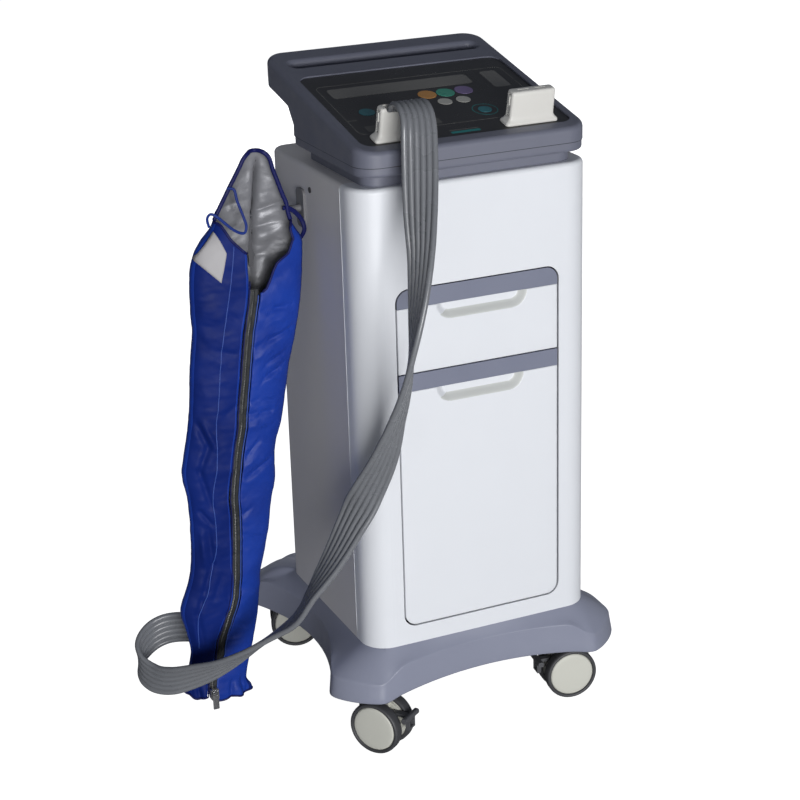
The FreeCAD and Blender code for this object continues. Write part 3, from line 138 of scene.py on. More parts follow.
def lathe(name, profile, mat, body, place, steps=64, axis="x", closed=False):
    """Turns (radius, height) pairs round an axis; place maps a local point to the row frame."""
    verts, faces = [], []
    n = len(profile)
    for k in range(steps):
        a = 2 * math.pi * k / steps
        for r, h in profile:
            p = (h, r * math.cos(a), r * math.sin(a)) if axis == "x" else (r * math.cos(a), r * math.sin(a), h)
            verts.append(place(Vector(p)))
    for k in range(steps):
        for j in range(n if closed else n - 1):
            a, b = k * n + j, k * n + (j + 1) % n
            c, d = ((k + 1) % steps) * n + (j + 1) % n, ((k + 1) % steps) * n + j
            faces.append((a, b, c, d))
    o = make(name, verts, faces, [mat], body)
    smooth_by_angle(o, 40)
    return o


# the key panel's frame: u across, v up the slope, n out of it
TILT = math.radians(12.4)
PU, PV, PN = Vector((1, 0, 0)), Vector((0, math.cos(TILT), math.sin(TILT))), Vector((0, -math.sin(TILT), math.cos(TILT)))
PO = Vector((0, -145.2, 897.4))


def pan(u, v, n):
    return PO + PU * u + PV * v + PN * n


# ------------------------------------------------------------------ materials
def srgb(r, g, b):
    def f(c):
        c /= 255.0
        return c / 12.92 if c <= 0.04045 else ((c + 0.055) / 1.055) ** 2.4
    return (f(r), f(g), f(b), 1.0)


def material(name, colour, rough=0.45, metal=0.0, spec=0.5, coat=0.0, coat_rough=0.1, sheen=0.0,
             tint=0.05, tint_scale=9.0, rough_var=0.08, rough_scale=30.0, grain=0.0, grain_scale=900.0,
             wave=0.0, wave_scale=25.0, trans=0.0, alpha=1.0):
    """Moulded or painted surface: slight colour drift, uneven gloss, fine grain and long waves in the skin."""
    m = bpy.data.materials.new(name)
    m.use_nodes = True
    nt = m.node_tree
    nt.nodes.clear()
    out = nt.nodes.new("ShaderNodeOutputMaterial")
    bs = nt.nodes.new("ShaderNodeBsdfPrincipled")
    nt.links.new(bs.outputs[0], out.inputs[0])
    bs.inputs["Metallic"].default_value = metal
    bs.inputs["Specular IOR Level"].default_value = spec
    bs.inputs["Coat Weight"].default_value = coat
    bs.inputs["Coat Roughness"].default_value = coat_rough
    bs.inputs["Sheen Weight"].default_value = sheen
    bs.inputs["Transmission Weight"].default_value = trans
    tc = nt.nodes.new("ShaderNodeTexCoord")
    n1 = nt.nodes.new("ShaderNodeTexNoise")
    n1.inputs["Scale"].default_value = tint_scale
    n1.inputs["Detail"].default_value = 4
    nt.links.new(tc.outputs["Object"], n1.inputs["Vector"])
    mix = nt.nodes.new("ShaderNodeMix")
    mix.data_type = "RGBA"
    c = Vector(colour[:3])
    mix.inputs[6].default_value = (*(c * (1 - tint)), 1)
    mix.inputs[7].default_value = (*(c * (1 + tint)), 1)
    nt.links.new(n1.outputs["Fac"], mix.inputs[0])
    nt.links.new(mix.outputs[2], bs.inputs["Base Color"])
    n2 = nt.nodes.new("ShaderNodeTexNoise")
    n2.inputs["Scale"].default_value = rough_scale
    n2.inputs["Detail"].default_value = 6
    nt.links.new(tc.outputs["Object"], n2.inputs["Vector"])
    mr = nt.nodes.new("ShaderNodeMapRange")
    mr.inputs["To Min"].default_value = max(0.02, rough - rough_var)
    mr.inputs["To Max"].default_value = min(1.0, rough + rough_var)
    mr.inputs["From Min"].default_value = 0.3
    mr.inputs["From Max"].default_value = 0.7
    nt.links.new(n2.outputs["Fac"], mr.inputs["Value"])
    nt.links.new(mr.outputs[0], bs.inputs["Roughness"])
    last = None
    for amount, scale, dist in ((grain, grain_scale, 0.0004), (wave, wave_scale, 0.002)):
        if amount <= 0:
            continue
        n3 = nt.nodes.new("ShaderNodeTexNoise")
        n3.inputs["Scale"].default_value = scale
        n3.inputs["Detail"].default_value = 3
        nt.links.new(tc.outputs["Object"], n3.inputs["Vector"])
        b = nt.nodes.new("ShaderNodeBump")
        b.inputs["Strength"].default_value = amount
        b.inputs["Distance"].default_value = dist
        nt.links.new(n3.outputs["Fac"], b.inputs["Height"])
        if last:
            nt.links.new(last.outputs[0], b.inputs["Normal"])
        last = b
    if last:
        nt.links.new(last.outputs[0], bs.inputs["Normal"])
    if alpha < 1:
        bs.inputs["Alpha"].default_value = alpha
    return m


WHITE = material("shell_white_paint", (0.76, 0.78, 0.82, 1), rough=0.36, spec=0.45, tint=0.015, grain=0.10,
                 grain_scale=1400, wave=0.03, wave_scale=14, rough_var=0.06)
# greyer copy of the shell white for the drawer scoops' walls: painted shade
SCOOP_SHADE_WHITE = material("shell_white_painted_shade", (0.60, 0.615, 0.60, 1), rough=0.40, spec=0.40, tint=0.015, grain=0.10,
                  grain_scale=1400, rough_var=0.06)
BODYW = material("body_white_paint", (0.66, 0.65, 0.66, 1), rough=0.42, spec=0.45, tint=0.02, grain=0.16,
                 grain_scale=1200, wave=0.03, wave_scale=14, rough_var=0.06)
BASEG = material("base_grey_plastic", (0.250, 0.266, 0.345, 1), rough=0.36, spec=0.45, tint=0.04, grain=0.22,
                 grain_scale=1500, rough_var=0.06)
TRIM = material("trim_grey_plastic", (0.190, 0.205, 0.275, 1), rough=0.42, spec=0.45, tint=0.04, grain=0.22,
                grain_scale=1500, rough_var=0.07)
CONSOLE = material("console_grey_plastic", (0.150, 0.158, 0.205, 1), rough=0.46, spec=0.45, tint=0.05, grain=0.30,
                   grain_scale=1800, rough_var=0.07)
FILM = material("panel_black_film", (0.022, 0.022, 0.024, 1), rough=0.30, spec=0.5, tint=0.10, grain=0.06,
                grain_scale=2500, rough_var=0.05)
WINDOW = material("window_smoked_film", (0.165, 0.162, 0.150, 1), rough=0.20, spec=0.5, tint=0.05, rough_var=0.04)
K_ORANGE = material("key_orange_film", srgb(192, 138, 72), rough=0.32, tint=0.05, grain=0.05)
K_GREEN = material("key_green_film", srgb(60, 150, 128), rough=0.32, tint=0.05, grain=0.05)
K_PURPLE = material("key_purple_film", srgb(122, 106, 150), rough=0.32, tint=0.05, grain=0.05)
K_WHITE = material("key_white_film", srgb(178, 178, 172), rough=0.34, tint=0.05, grain=0.05)
K_TEAL = material("key_teal_film", srgb(40, 112, 122), rough=0.32, tint=0.05, grain=0.05)
PRINT_S = material("print_silver", srgb(120, 120, 116), rough=0.45, tint=0.04)
PRINT_T = material("print_teal", srgb(30, 135, 135), rough=0.40, tint=0.04)
PRINT_G = material("print_grey", srgb(84, 84, 82), rough=0.40, tint=0.04)
PLUG = material("plug_cream_plastic", (0.70, 0.69, 0.655, 1), rough=0.38, spec=0.45, tint=0.02, grain=0.12,
                grain_scale=1600, rough_var=0.06)
HOSE = material("hose_grey_rubber", (0.172, 0.180, 0.196, 1), rough=0.28, spec=0.6, tint=0.06, tint_scale=14,
                grain=0.14, grain_scale=1300, rough_var=0.08)
DRAWER_IN = material("drawer_inside_plastic", (0.60, 0.60, 0.55, 1), rough=0.50, tint=0.02, grain=0.2, grain_scale=1200)
STEEL_D = material("steel_black_coat", (0.035, 0.035, 0.038, 1), rough=0.45, tint=0.06, grain=0.4, grain_scale=700)
STEEL = material("steel_plated", (0.62, 0.62, 0.63, 1), rough=0.24, metal=1.0, tint=0.03, rough_var=0.10,
                 rough_scale=60)
ALLOY = material("alloy_cast", (0.50, 0.51, 0.53, 1), rough=0.50, metal=1.0, tint=0.05, grain=0.5, grain_scale=500)
HUB = material("caster_grey_nylon", (0.60, 0.60, 0.54, 1), rough=0.44, tint=0.03, grain=0.2, grain_scale=1300)
TYRE = material("caster_black_rubber", (0.052, 0.053, 0.058, 1), rough=0.52, tint=0.08, grain=0.3, grain_scale=900)
LEVER = material("pedal_grey_nylon", (0.085, 0.087, 0.095, 1), rough=0.42, tint=0.05, grain=0.2, grain_scale=900)
# dark grey picked to sink into the shaded cabinet side: painted shade on the hanger
HANGER_SHADE_GREY = material("hanger_painted_shade_grey", (0.20, 0.20, 0.212, 1), rough=0.50, tint=0.04, grain=0.2, grain_scale=1100)
PEDAL = material("pedal_black_nylon", (0.022, 0.023, 0.032, 1), rough=0.40, tint=0.06, grain=0.2, grain_scale=900)
BOARD = material("board_green", (0.02, 0.14, 0.05, 1), rough=0.35, tint=0.15, tint_scale=60)
TUBE = material("tube_silicone", (0.62, 0.65, 0.66, 1), rough=0.25, tint=0.03, grain=0.05)
SWITCH = material("switch_black_plastic", (0.015, 0.015, 0.016, 1), rough=0.35, tint=0.05, grain=0.1)


def dress(name, m, width=0.0, segments=2, angle=35):
    o = nodes[name]
    o.data.materials.clear()
    o.data.materials.append(m)
    for s in o.material_slots:
        s.material = m
    if width:
        bevel(o, width, segments, angle)
    return o


for c, m in (("cabinet_front", WHITE), ("cabinet_body", BODYW), ("base_cover", TRIM), ("chassis_frame", STEEL_D),
             ("drawer_frame", STEEL_D), ("cover_screws", STEEL_D), ("console_plinth", CONSOLE),
             ("console_lower_case", CONSOLE), ("console_upper_case", CONSOLE), ("control_panel", FILM),
             ("display_windows", WINDOW), ("outlet_sockets", SWITCH), ("hose_plug", PLUG), ("leg_sleeve", TRIM),
             ("sleeve_port", PEDAL), ("sleeve_hanger", HANGER_SHADE_GREY), ("sleeve_straps", PEDAL), ("compressor", ALLOY),
             ("valve_manifold", ALLOY), ("main_board", BOARD), ("air_tubes", TUBE), ("mains_inlet", SWITCH),
             ("zip_slider", STEEL), ("zip_pull", STEEL), ("rocker_switch", SWITCH), ("blanking_plug", PLUG),
             ("blanking_plug_latch", PLUG), ("hose_plug_latch", PLUG), ("key_orange", K_ORANGE),
             ("key_green", K_GREEN), ("key_purple", K_PURPLE), ("key_white_left", K_WHITE),
             ("key_white_right", K_WHITE), ("key_teal_left", K_TEAL), ("key_teal_right", K_TEAL),
             ("drawer_upper_panel", WHITE), ("drawer_lower_panel", WHITE), ("drawer_upper_grip", TRIM),
             ("drawer_lower_grip", TRIM), ("drawer_upper_tray", DRAWER_IN), ("drawer_lower_tray", DRAWER_IN)):
    dress(c, m)
for c in ("fl", "fr", "bl", "br"):
    dress("caster_%s_housing" % c, HUB)
    dress("caster_%s_pins" % c, STEEL)
    dress("caster_%s_wheels" % c, HUB)
    dress("caster_%s_tyres" % c, TYRE)
for c in ("fl", "fr"):
    dress("caster_%s_pedal" % c, LEVER)

# ------------------------------------------------------------------ hose
ROUTE = [
    ((-96.5, -127.4, 911.5), (1, 0, 0)),
    ((-96.5, -132.6, 935.6), (1, 0, 0)),
    ((-96.5, -149.9, 953.0), (1, 0, 0)),
    ((-96.7, -172.0, 952.4), (1, 0, 0)),
    ((-98.0, -189.5, 937.0), (1, -0.1, 0)),
    ((-102.2, -199.0, 902.0), (0.93, -0.35, 0.03)),
    ((-108.4, -211.5, 857.5), (0.83, -0.56, 0.04)),
    ((-117.2, -229.0, 806.5), (0.60, -0.79, 0.12)),
    ((-122.5, -240.5, 770.0), (0.36, -0.91, 0.18)),
    ((-133.7, -254.3, 720.0), (0.12, -0.97, 0.19)),
    ((-141.6, -259.8, 683.2), (-0.12, -0.98, 0.10)),
    ((-147.2, -259.2, 646.2), (-0.36, -0.92, 0.00)),
    ((-151.4, -254.4, 612.0), (-0.54, -0.84, -0.10)),
    ((-155.4, -244.5, 576.0), (-0.70, -0.69, -0.14)),
    ((-162.0, -226.4, 530.8), (-0.84, -0.52, -0.08)),
    ((-171.9, -206.2, 473.2), (-0.95, -0.15, 0.18)),
    ((-190.8, -187.0, 422.0), (-0.86, 0.22, 0.42)),
    ((-204.5, -171.5, 382.5), (-0.40, 0.82, 0.40)),
    ((-232.5, -160.4, 322.5), (-0.04, 0.96, 0.28)),
    ((-264.5, -149.8, 271.0), (0.32, 0.94, 0.08)),
    ((-282.0, -139.6, 230.6), (0.46, 0.88, 0.02)),
    ((-308.0, -120.5, 205.5), (0.60, 0.77, -0.16)),
    ((-342.0, -98.2, 175.6), (0.67, 0.68, -0.30)),
    ((-374.5, -78.0, 150.5), (0.67, 0.50, -0.55)),
    ((-405.5, -55.5, 132.0), (0.52, 0.24, -0.80)),
    ((-443.9, -28.0, 115.2), (0.1, 0.15, -1.0)),
    ((-464.3, -6.0, 114.4), (0, 0, -1)),
    ((-475.0, 16.0, 124.5), (0, 0, -1)),
    ((-468.8, 36.0, 143.3), (0, 0, -1)),
    ((-443.4, 50.0, 157.1), (0, 0, -1)),
    ((-413.0, 46.0, 164.9), (0, 0, -1)),
    ((-391.0, 32.0, 164.5), (0, 0, -1)),
]


def nurbs_line(points, resolution=14):
    cu = bpy.data.curves.new("route", "CURVE")
    cu.dimensions = "3D"
    sp = cu.splines.new("NURBS")
    sp.points.add(len(points) - 1)
    for q, p in zip(sp.points, points):
        q.co = (p[0] * MM, p[1] * MM, p[2] * MM, 1)
    sp.order_u = 3
    sp.use_endpoint_u = True
    sp.resolution_u = resolution
    cu.resolution_u = resolution
    tmp = bpy.data.objects.new("route", cu)
    scene.collection.objects.link(tmp)
    bpy.context.view_layer.update()
    me = bpy.data.meshes.new_from_object(tmp)
    line = [v.co.copy() for v in me.vertices]
    bpy.data.objects.remove(tmp)
    bpy.data.curves.remove(cu)
    bpy.data.meshes.remove(me)
    return line


line = nurbs_line([p for p, w in ROUTE])
N_C = len(ROUTE)
greville = [0.0] + [i - 0.5 for i in range(1, N_C - 1)] + [N_C - 2.0]
widths = []
for k in range(len(line)):
    t = (N_C - 2.0) * k / (len(line) - 1)
    for i in range(N_C - 1):
        if greville[i] <= t <= greville[i + 1]:
            break
    f = (t - greville[i]) / (greville[i + 1] - greville[i])
    widths.append(Vector(ROUTE[i][1]).lerp(Vector(ROUTE[i + 1][1]), f))
# even steps along the line
dist = [0.0]
for a, b in zip(line, line[1:]):
    dist.append(dist[-1] + (b - a).length)
HOSE_LEN = dist[-1]
steps = 330
path, wvec = [], []
j = 0
for k in range(steps + 1):
    s = HOSE_LEN * k / steps
    while j < len(dist) - 2 and dist[j + 1] < s:
        j += 1
    f = (s - dist[j]) / max(dist[j + 1] - dist[j], 1e-9)
    path.append(line[j].lerp(line[j + 1], f))
    wvec.append(widths[j].lerp(widths[j + 1], f))
# scalloped outline of six tubes moulded side by side
outline = []
PITCH, RAD = 8.1, 4.15
for side in (1, -1):
    for q in range(6):
        c = (q - 2.5) * PITCH if side == 1 else (2.5 - q) * PITCH
        first, last = (q == 0), (q == 5)
        a0 = 180 if first else 164
        a1 = 0 if last else 16
        m = 9
        for i in range(m + 1):
            a = math.radians(a0 + (a1 - a0) * i / m)
            if last and i == m:
                continue
            x, y = RAD * math.cos(a), RAD * math.sin(a)
            outline.append((c + x * side, y * side) if side == 1 else (c - x, -y))
hv, hf = [], []
for k, p in enumerate(path):
    t = (path[min(k + 1, steps)] - path[max(k - 1, 0)]).normalized()
    w = (wvec[k] - t * wvec[k].dot(t)).normalized()
    h = t.cross(w).normalized()
    for x, y in outline:
        q = p + w * (x * MM) + h * (y * MM)
        hv.append(q / MM)
hf = grid_faces(len(path), len(outline), wrap=True)
hf.append(tuple(range(len(outline))))
hf.append(tuple(reversed(range(len(outline) * steps, len(outline) * (steps + 1)))))
hose = make("hose_ribbon", hv, hf, [HOSE])
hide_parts("leg_hose")


# ------------------------------------------------------------------ more helpers
def tube(name, pts, r, mat, body="body", seg=10, flat=1.0, closed=False, up=(0, -1, 0), caps=True):
    """Round or flat strip swept along points; flat is thickness over width."""
    n = len(pts)
    P = [Vector(p) for p in pts]
    verts = []
    for k in range(n):
        if closed:
            t = (P[(k + 1) % n] - P[k - 1]).normalized()
        else:
            t = (P[min(k + 1, n - 1)] - P[max(k - 1, 0)]).normalized()
        u = Vector(up)
        if callable(up):
            u = Vector(up(k))
        u = (u - t * u.dot(t))
        if u.length < 1e-4:
            u = t.orthogonal()
        u.normalize()
        w = t.cross(u)
        for q in range(seg):
            a = 2 * math.pi * q / seg
            verts.append(P[k] + w * (r * math.cos(a)) + u * (r * flat * math.sin(a)))
    faces = grid_faces(n, seg, wrap=True)
    if closed:
        faces += [((n - 1) * seg + q, (n - 1) * seg + (q + 1) % seg, (q + 1) % seg, q) for q in range(seg)]
    elif caps:
        faces.append(tuple(range(seg)))
        faces.append(tuple(reversed(range((n - 1) * seg, n * seg))))
    return make(name, verts, faces, [mat], body)


def catmull(pts, step=6):
    """Smooth line through a few points."""
    P = [Vector(p) for p in pts]
    out = []
    for i in range(len(P) - 1):
        a, b, c, d = P[max(i - 1, 0)], P[i], P[i + 1], P[min(i + 2, len(P) - 1)]
        for k in range(step):
            t = k / step
            out.append(0.5 * ((2 * b) + (c - a) * t + (2 * a - 5 * b + 4 * c - d) * t * t + (3 * b - a - 3 * c + d) * t ** 3))
    out.append(P[-1])
    return out


def rounded_rect(w, d, r, n=6):
    """Points of a rounded rectangle with half sizes w and d, counter-clockwise."""
    r = min(r, w - 0.01, d - 0.01)
    out = []
    for cx, cy, a0 in ((w - r, -d + r, -90), (w - r, d - r, 0), (-w + r, d - r, 90), (-w + r, -d + r, 180)):
        for k in range(n + 1):
            a = math.radians(a0 + 90 * k / n)
            out.append((cx + r * math.cos(a), cy + r * math.sin(a)))
    return out


def loft(name, rings, mats, body="body", cap0=True, cap1=True, angle=40):
    n = len(rings[0])
    verts = [p for ring in rings for p in ring]
    faces = grid_faces(len(rings), n, wrap=True)
    if cap0:
        faces.append(tuple(range(n)))
    if cap1:
        faces.append(tuple(reversed(range((len(rings) - 1) * n, len(rings) * n))))
    o = make(name, verts, faces, mats, body)
    smooth_by_angle(o, angle)
    return o


def apply_modifiers(o):
    bpy.context.view_layer.update()
    dg = bpy.context.evaluated_depsgraph_get()
    me = bpy.data.meshes.new_from_object(o.evaluated_get(dg), depsgraph=dg)
    old = o.data
    o.modifiers.clear()
    o.data = me
    me.name = o.name
    bpy.data.meshes.remove(old)
    return o


def carve(o, cutters):
    """Cuts boxes, given as eight-corner meshes, out of a piece."""
    for c in cutters:
        m = o.modifiers.new("cut", "BOOLEAN")
        m.operation = "DIFFERENCE"
        m.solver = "EXACT"
        m.object = c
    apply_modifiers(o)
    for c in cutters:
        me = c.data
        bpy.data.objects.remove(c)
        bpy.data.meshes.remove(me)
    return o


def cutter(rings):
    n = len(rings[0])
    verts = [p for ring in rings for p in ring]
    faces = grid_faces(len(rings), n, wrap=True) + [tuple(range(n)), tuple(reversed(range((len(rings) - 1) * n, len(rings) * n)))]
    me = bpy.data.meshes.new("cutter")
    me.from_pydata([(v[0] * MM, v[1] * MM, v[2] * MM) for v in verts], [], faces)
    bm = bmesh.new()
    bm.from_mesh(me)
    bmesh.ops.recalc_face_normals(bm, faces=bm.faces)
    bm.to_mesh(me)
    bm.free()
    c = bpy.data.objects.new("cutter", me)
    scene.collection.objects.link(c)
    return c


def panel_box(u0, u1, v0, v1, n0, n1, r=1.0, name=None, mats=None, body="body", bev=0.0):
    """Box with rounded corners in the key panel's frame."""
    w, d = (u1 - u0) / 2, (v1 - v0) / 2
    c = rounded_rect(w, d, r)
    b = max(bev, 0)
    rings = []
    levels = [(n0, 0), (n1 - b, 0)] + ([(n1 - b * 0.3, b * 0.3), (n1, b)] if b else [])
    for n, inset in levels:
        ring = rounded_rect(w - inset, d - inset, max(r - inset, 0.05))
        rings.append([pan((u0 + u1) / 2 + x, (v0 + v1) / 2 + y, n) for x, y in ring])
    if name is None:
        return cutter(rings)
    return loft(name, rings, mats, body)


# ------------------------------------------------------------------ base cover
def base_line():
    """Plan of the four-legged cover: hollow sides, slightly bowed leg ends. Returns points and how much
    each one belongs to a leg end."""
    cy = 45.0
    bx, by, ax, ay = 175.0, 233.0, 238.0, 172.0
    mf, mr_, ms = 213.0, 192.0, 190.0

    def arc(p, m, q, n):
        ax_, ay_, bx_, by_, cx_, cy_ = *p, *m, *q
        d = 2 * (ax_ * (by_ - cy_) + bx_ * (cy_ - ay_) + cx_ * (ay_ - by_))
        ux = ((ax_ ** 2 + ay_ ** 2) * (by_ - cy_) + (bx_ ** 2 + by_ ** 2) * (cy_ - ay_) + (cx_ ** 2 + cy_ ** 2) * (ay_ - by_)) / d
        uy = ((ax_ ** 2 + ay_ ** 2) * (cx_ - bx_) + (bx_ ** 2 + by_ ** 2) * (ax_ - cx_) + (cx_ ** 2 + cy_ ** 2) * (bx_ - ax_)) / d
        r = math.hypot(ax_ - ux, ay_ - uy)
        a0, a1, a2 = (math.atan2(y - uy, x - ux) for x, y in (p, m, q))
        while a1 - a0 > math.pi:
            a1 -= 2 * math.pi
        while a1 - a0 < -math.pi:
            a1 += 2 * math.pi
        while a2 - a1 > math.pi:
            a2 -= 2 * math.pi
        while a2 - a1 < -math.pi:
            a2 += 2 * math.pi
        return [(ux + r * math.cos(a0 + (a2 - a0) * k / n), uy + r * math.sin(a0 + (a2 - a0) * k / n)) for k in range(n)]

    pts, leg = [], []
    B, A = (bx, by), (ax, ay)
    mx, my = (bx + ax) / 2 + 5.5, (by + ay) / 2 + 5.5
    pieces_ = [
        (arc((-bx, -by), (0, -mf), (bx, -by), 130), 0), (arc((bx, -by), (mx, -my), (ax, -ay), 30), 1),
        (arc((ax, -ay), (ms, 0), (ax, ay), 130), 0), (arc((ax, ay), (mx, my), (bx, by), 30), 1),
        (arc((bx, by), (0, mr_), (-bx, by), 130), 0), (arc((-bx, by), (-mx, my), (-ax, ay), 30), 1),
        (arc((-ax, ay), (-ms, 0), (-ax, -ay), 130), 0), (arc((-ax, -ay), (-mx, -my), (-bx, -by), 30), 1)]
    for ps, w in pieces_:
        for p in ps:
            pts.append(Vector((p[0], p[1] + cy)))
            leg.append(float(w))
    # even spacing, then round the corners by letting them relax
    n = 760
    total = [0.0]
    for k in range(len(pts)):
        total.append(total[-1] + (pts[(k + 1) % len(pts)] - pts[k]).length)
    out, lw = [], []
    j = 0
    for k in range(n):
        s_ = total[-1] * k / n
        while total[j + 1] < s_:
            j += 1
        f = (s_ - total[j]) / (total[j + 1] - total[j])
        out.append(pts[j].lerp(pts[(j + 1) % len(pts)], f))
        lw.append(leg[j])
    crisp = [min((q - Vector((sx * bx, cy + sy * by))).length for sx in (1, -1) for sy in (1, -1)) < 24 for q in out]
    for it in range(34):
        out = [out[k] if (crisp[k] and it > 7) else (out[k - 1] + out[k] * 2 + out[(k + 1) % n]) / 4 for k in range(n)]
    step = total[-1] / n
    # distance along the line to the nearest leg end
    near = [0.0 if w > 0.5 else 1e9 for w in lw]
    for _ in range(2):
        for k in range(2 * n):
            near[k % n] = min(near[k % n], near[(k - 1) % n] + step)
        for k in range(2 * n, 0, -1):
            near[k % n] = min(near[k % n], near[(k + 1) % n] + step)
    return out, near


def foot_point(p):
    """Nearest point of the cabinet's foot."""
    r = 38.0 if p.y < 0 else 25.0
    w, d = 180.0, 159.0
    c = Vector((max(-w + r, min(w - r, p.x)), max(-d + r, min(d - r, p.y))))
    v = p - c
    return c + v.normalized() * r


line0, near0 = base_line()
nb = len(line0)
def edge_numbers(k):
    """Leg weight, arch lift and ridge height of the section at point k."""
    p = line0[k]
    su, sv_ = math.copysign(1, p.x), math.copysign(1, p.y - 45)
    p_b, p_a = Vector((su * 175, 45 + sv_ * 233)), Vector((su * 238, 45 + sv_ * 172))
    u = max(0.0, min(1.0, (p - p_b).dot(p_a - p_b) / (p_a - p_b).length_squared))
    arch = 0.0
    if p.y < -120 and abs(p.x) < 175:
        arch = 0.583 * max(0.0, -541 + math.sqrt(394.0 ** 2 - p.x ** 2) - p.y) * smooth01((175 - abs(p.x)) / 30)
    return lerp(lerp(117.0, 121.5, u) + 6.0 * math.sin(math.pi * u), 136.8 + arch * 0.72, smooth01(near0[k] / 40.0))


ridge_h = [edge_numbers(k) for k in range(nb)]
for _ in range(36):
    ridge_h = [(ridge_h[k - 1] + 2 * ridge_h[k] + ridge_h[(k + 1) % nb]) / 4 for k in range(nb)]
profile_rows = []
for k in range(nb):
    o_ = line0[k]
    f = foot_point(o_)
    if abs(o_.x) < 140 and abs(f.x - o_.x) < 2:
        d_ = Vector((0, 1 if o_.y < 0 else -1))
        f = Vector((o_.x, -159.0 if o_.y < 0 else 159.0))
    else:
        d_ = (f - o_).normalized()             # every section runs straight to the cabinet's foot
    sx_, sy_ = math.copysign(1, o_.x), math.copysign(1, o_.y - 45)
    pb, pa = Vector((sx_ * 175, 45 + sy_ * 233)), Vector((sx_ * 238, 45 + sy_ * 172))
    u_ = max(0.0, min(1.0, (o_ - pb).dot(pa - pb) / (pa - pb).length_squared))
    dome = math.sin(math.pi * u_)
    w = smooth01(near0[k] / 40.0)
    # the front edge arches up between the legs
    lift = 0.0
    if o_.y < -120 and abs(o_.x) < 175:
        lift = 0.583 * max(0.0, -541 + math.sqrt(394.0 ** 2 - o_.x ** 2) - o_.y) * smooth01((175 - abs(o_.x)) / 30)
    h = ridge_h[k]
    rr_ = lerp(4.2 + 8.0 * dome, 3.6, w)
    draft = lerp(4.6, 2.2, w)
    run = (f - o_).dot(d_)
    lo = 88.0 + lift
    col = [(o_ + d_ * 7, 112.0), (o_ + d_ * 6, lo + 4), (o_ + d_ * 4.2, lo + 0.6), (o_ + d_ * 1.2, lo), (o_ + d_ * 0.2, lo + 0.9), (o_, lo + 3)]
    zb = h - rr_ * 0.9
    for q in (0.35, 0.7, 1.0):
        col.append((o_ + d_ * (draft * q), lerp(lo + 3, zb, q)))
    climb = 160.4 - h
    slope_ = math.atan2(climb, max(run, 4))
    a_end = math.pi / 2 - slope_ * 1.02
    base_pt = o_ + d_ * draft
    for q in range(1, 7):
        a = a_end * q / 6
        col.append((base_pt + d_ * (rr_ * (1 - math.cos(a))), zb + rr_ * math.sin(a)))
    p0, z0 = col[-1]
    for q in range(1, 13):
        t = q / 12
        p = p0.lerp(f + d_ * 1.2, t)
        z = lerp(z0, 160.4, t) + lerp(13.0 if o_.y > 45 else 2.6, -1.0, w) * math.sin(math.pi * t)
        col.append((p, z))
    profile_rows.append(col)
# let the crown run softly from one side of a leg to the other
for _ in range(60):
    for j in range(16, 26):
        q = math.sin(math.pi * (j - 15) / 11.0) * 0.9
        ring = [profile_rows[k][j] for k in range(nb)]
        for k in range(nb):
            (pa_, za_), (pb_, zb_), (pc_, zc_) = ring[k - 1], ring[k], ring[(k + 1) % nb]
            profile_rows[k][j] = (pb_.lerp((pa_ + pb_ * 2 + pc_) / 4, q), lerp(zb_, (za_ + 2 * zb_ + zc_) / 4, q))
m_ = len(profile_rows[0])
verts = [(p.x, p.y, z) for j in range(m_) for p, z in (profile_rows[k][j] for k in range(nb))]
faces = grid_faces(m_, nb, wrap=True)
faces.append(tuple(range(nb)))
faces.append(tuple(reversed(range((m_ - 1) * nb, m_ * nb))))
base = make("base_shell", verts, faces, [BASEG])
smooth_by_angle(base, 50)
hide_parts("base_cover")

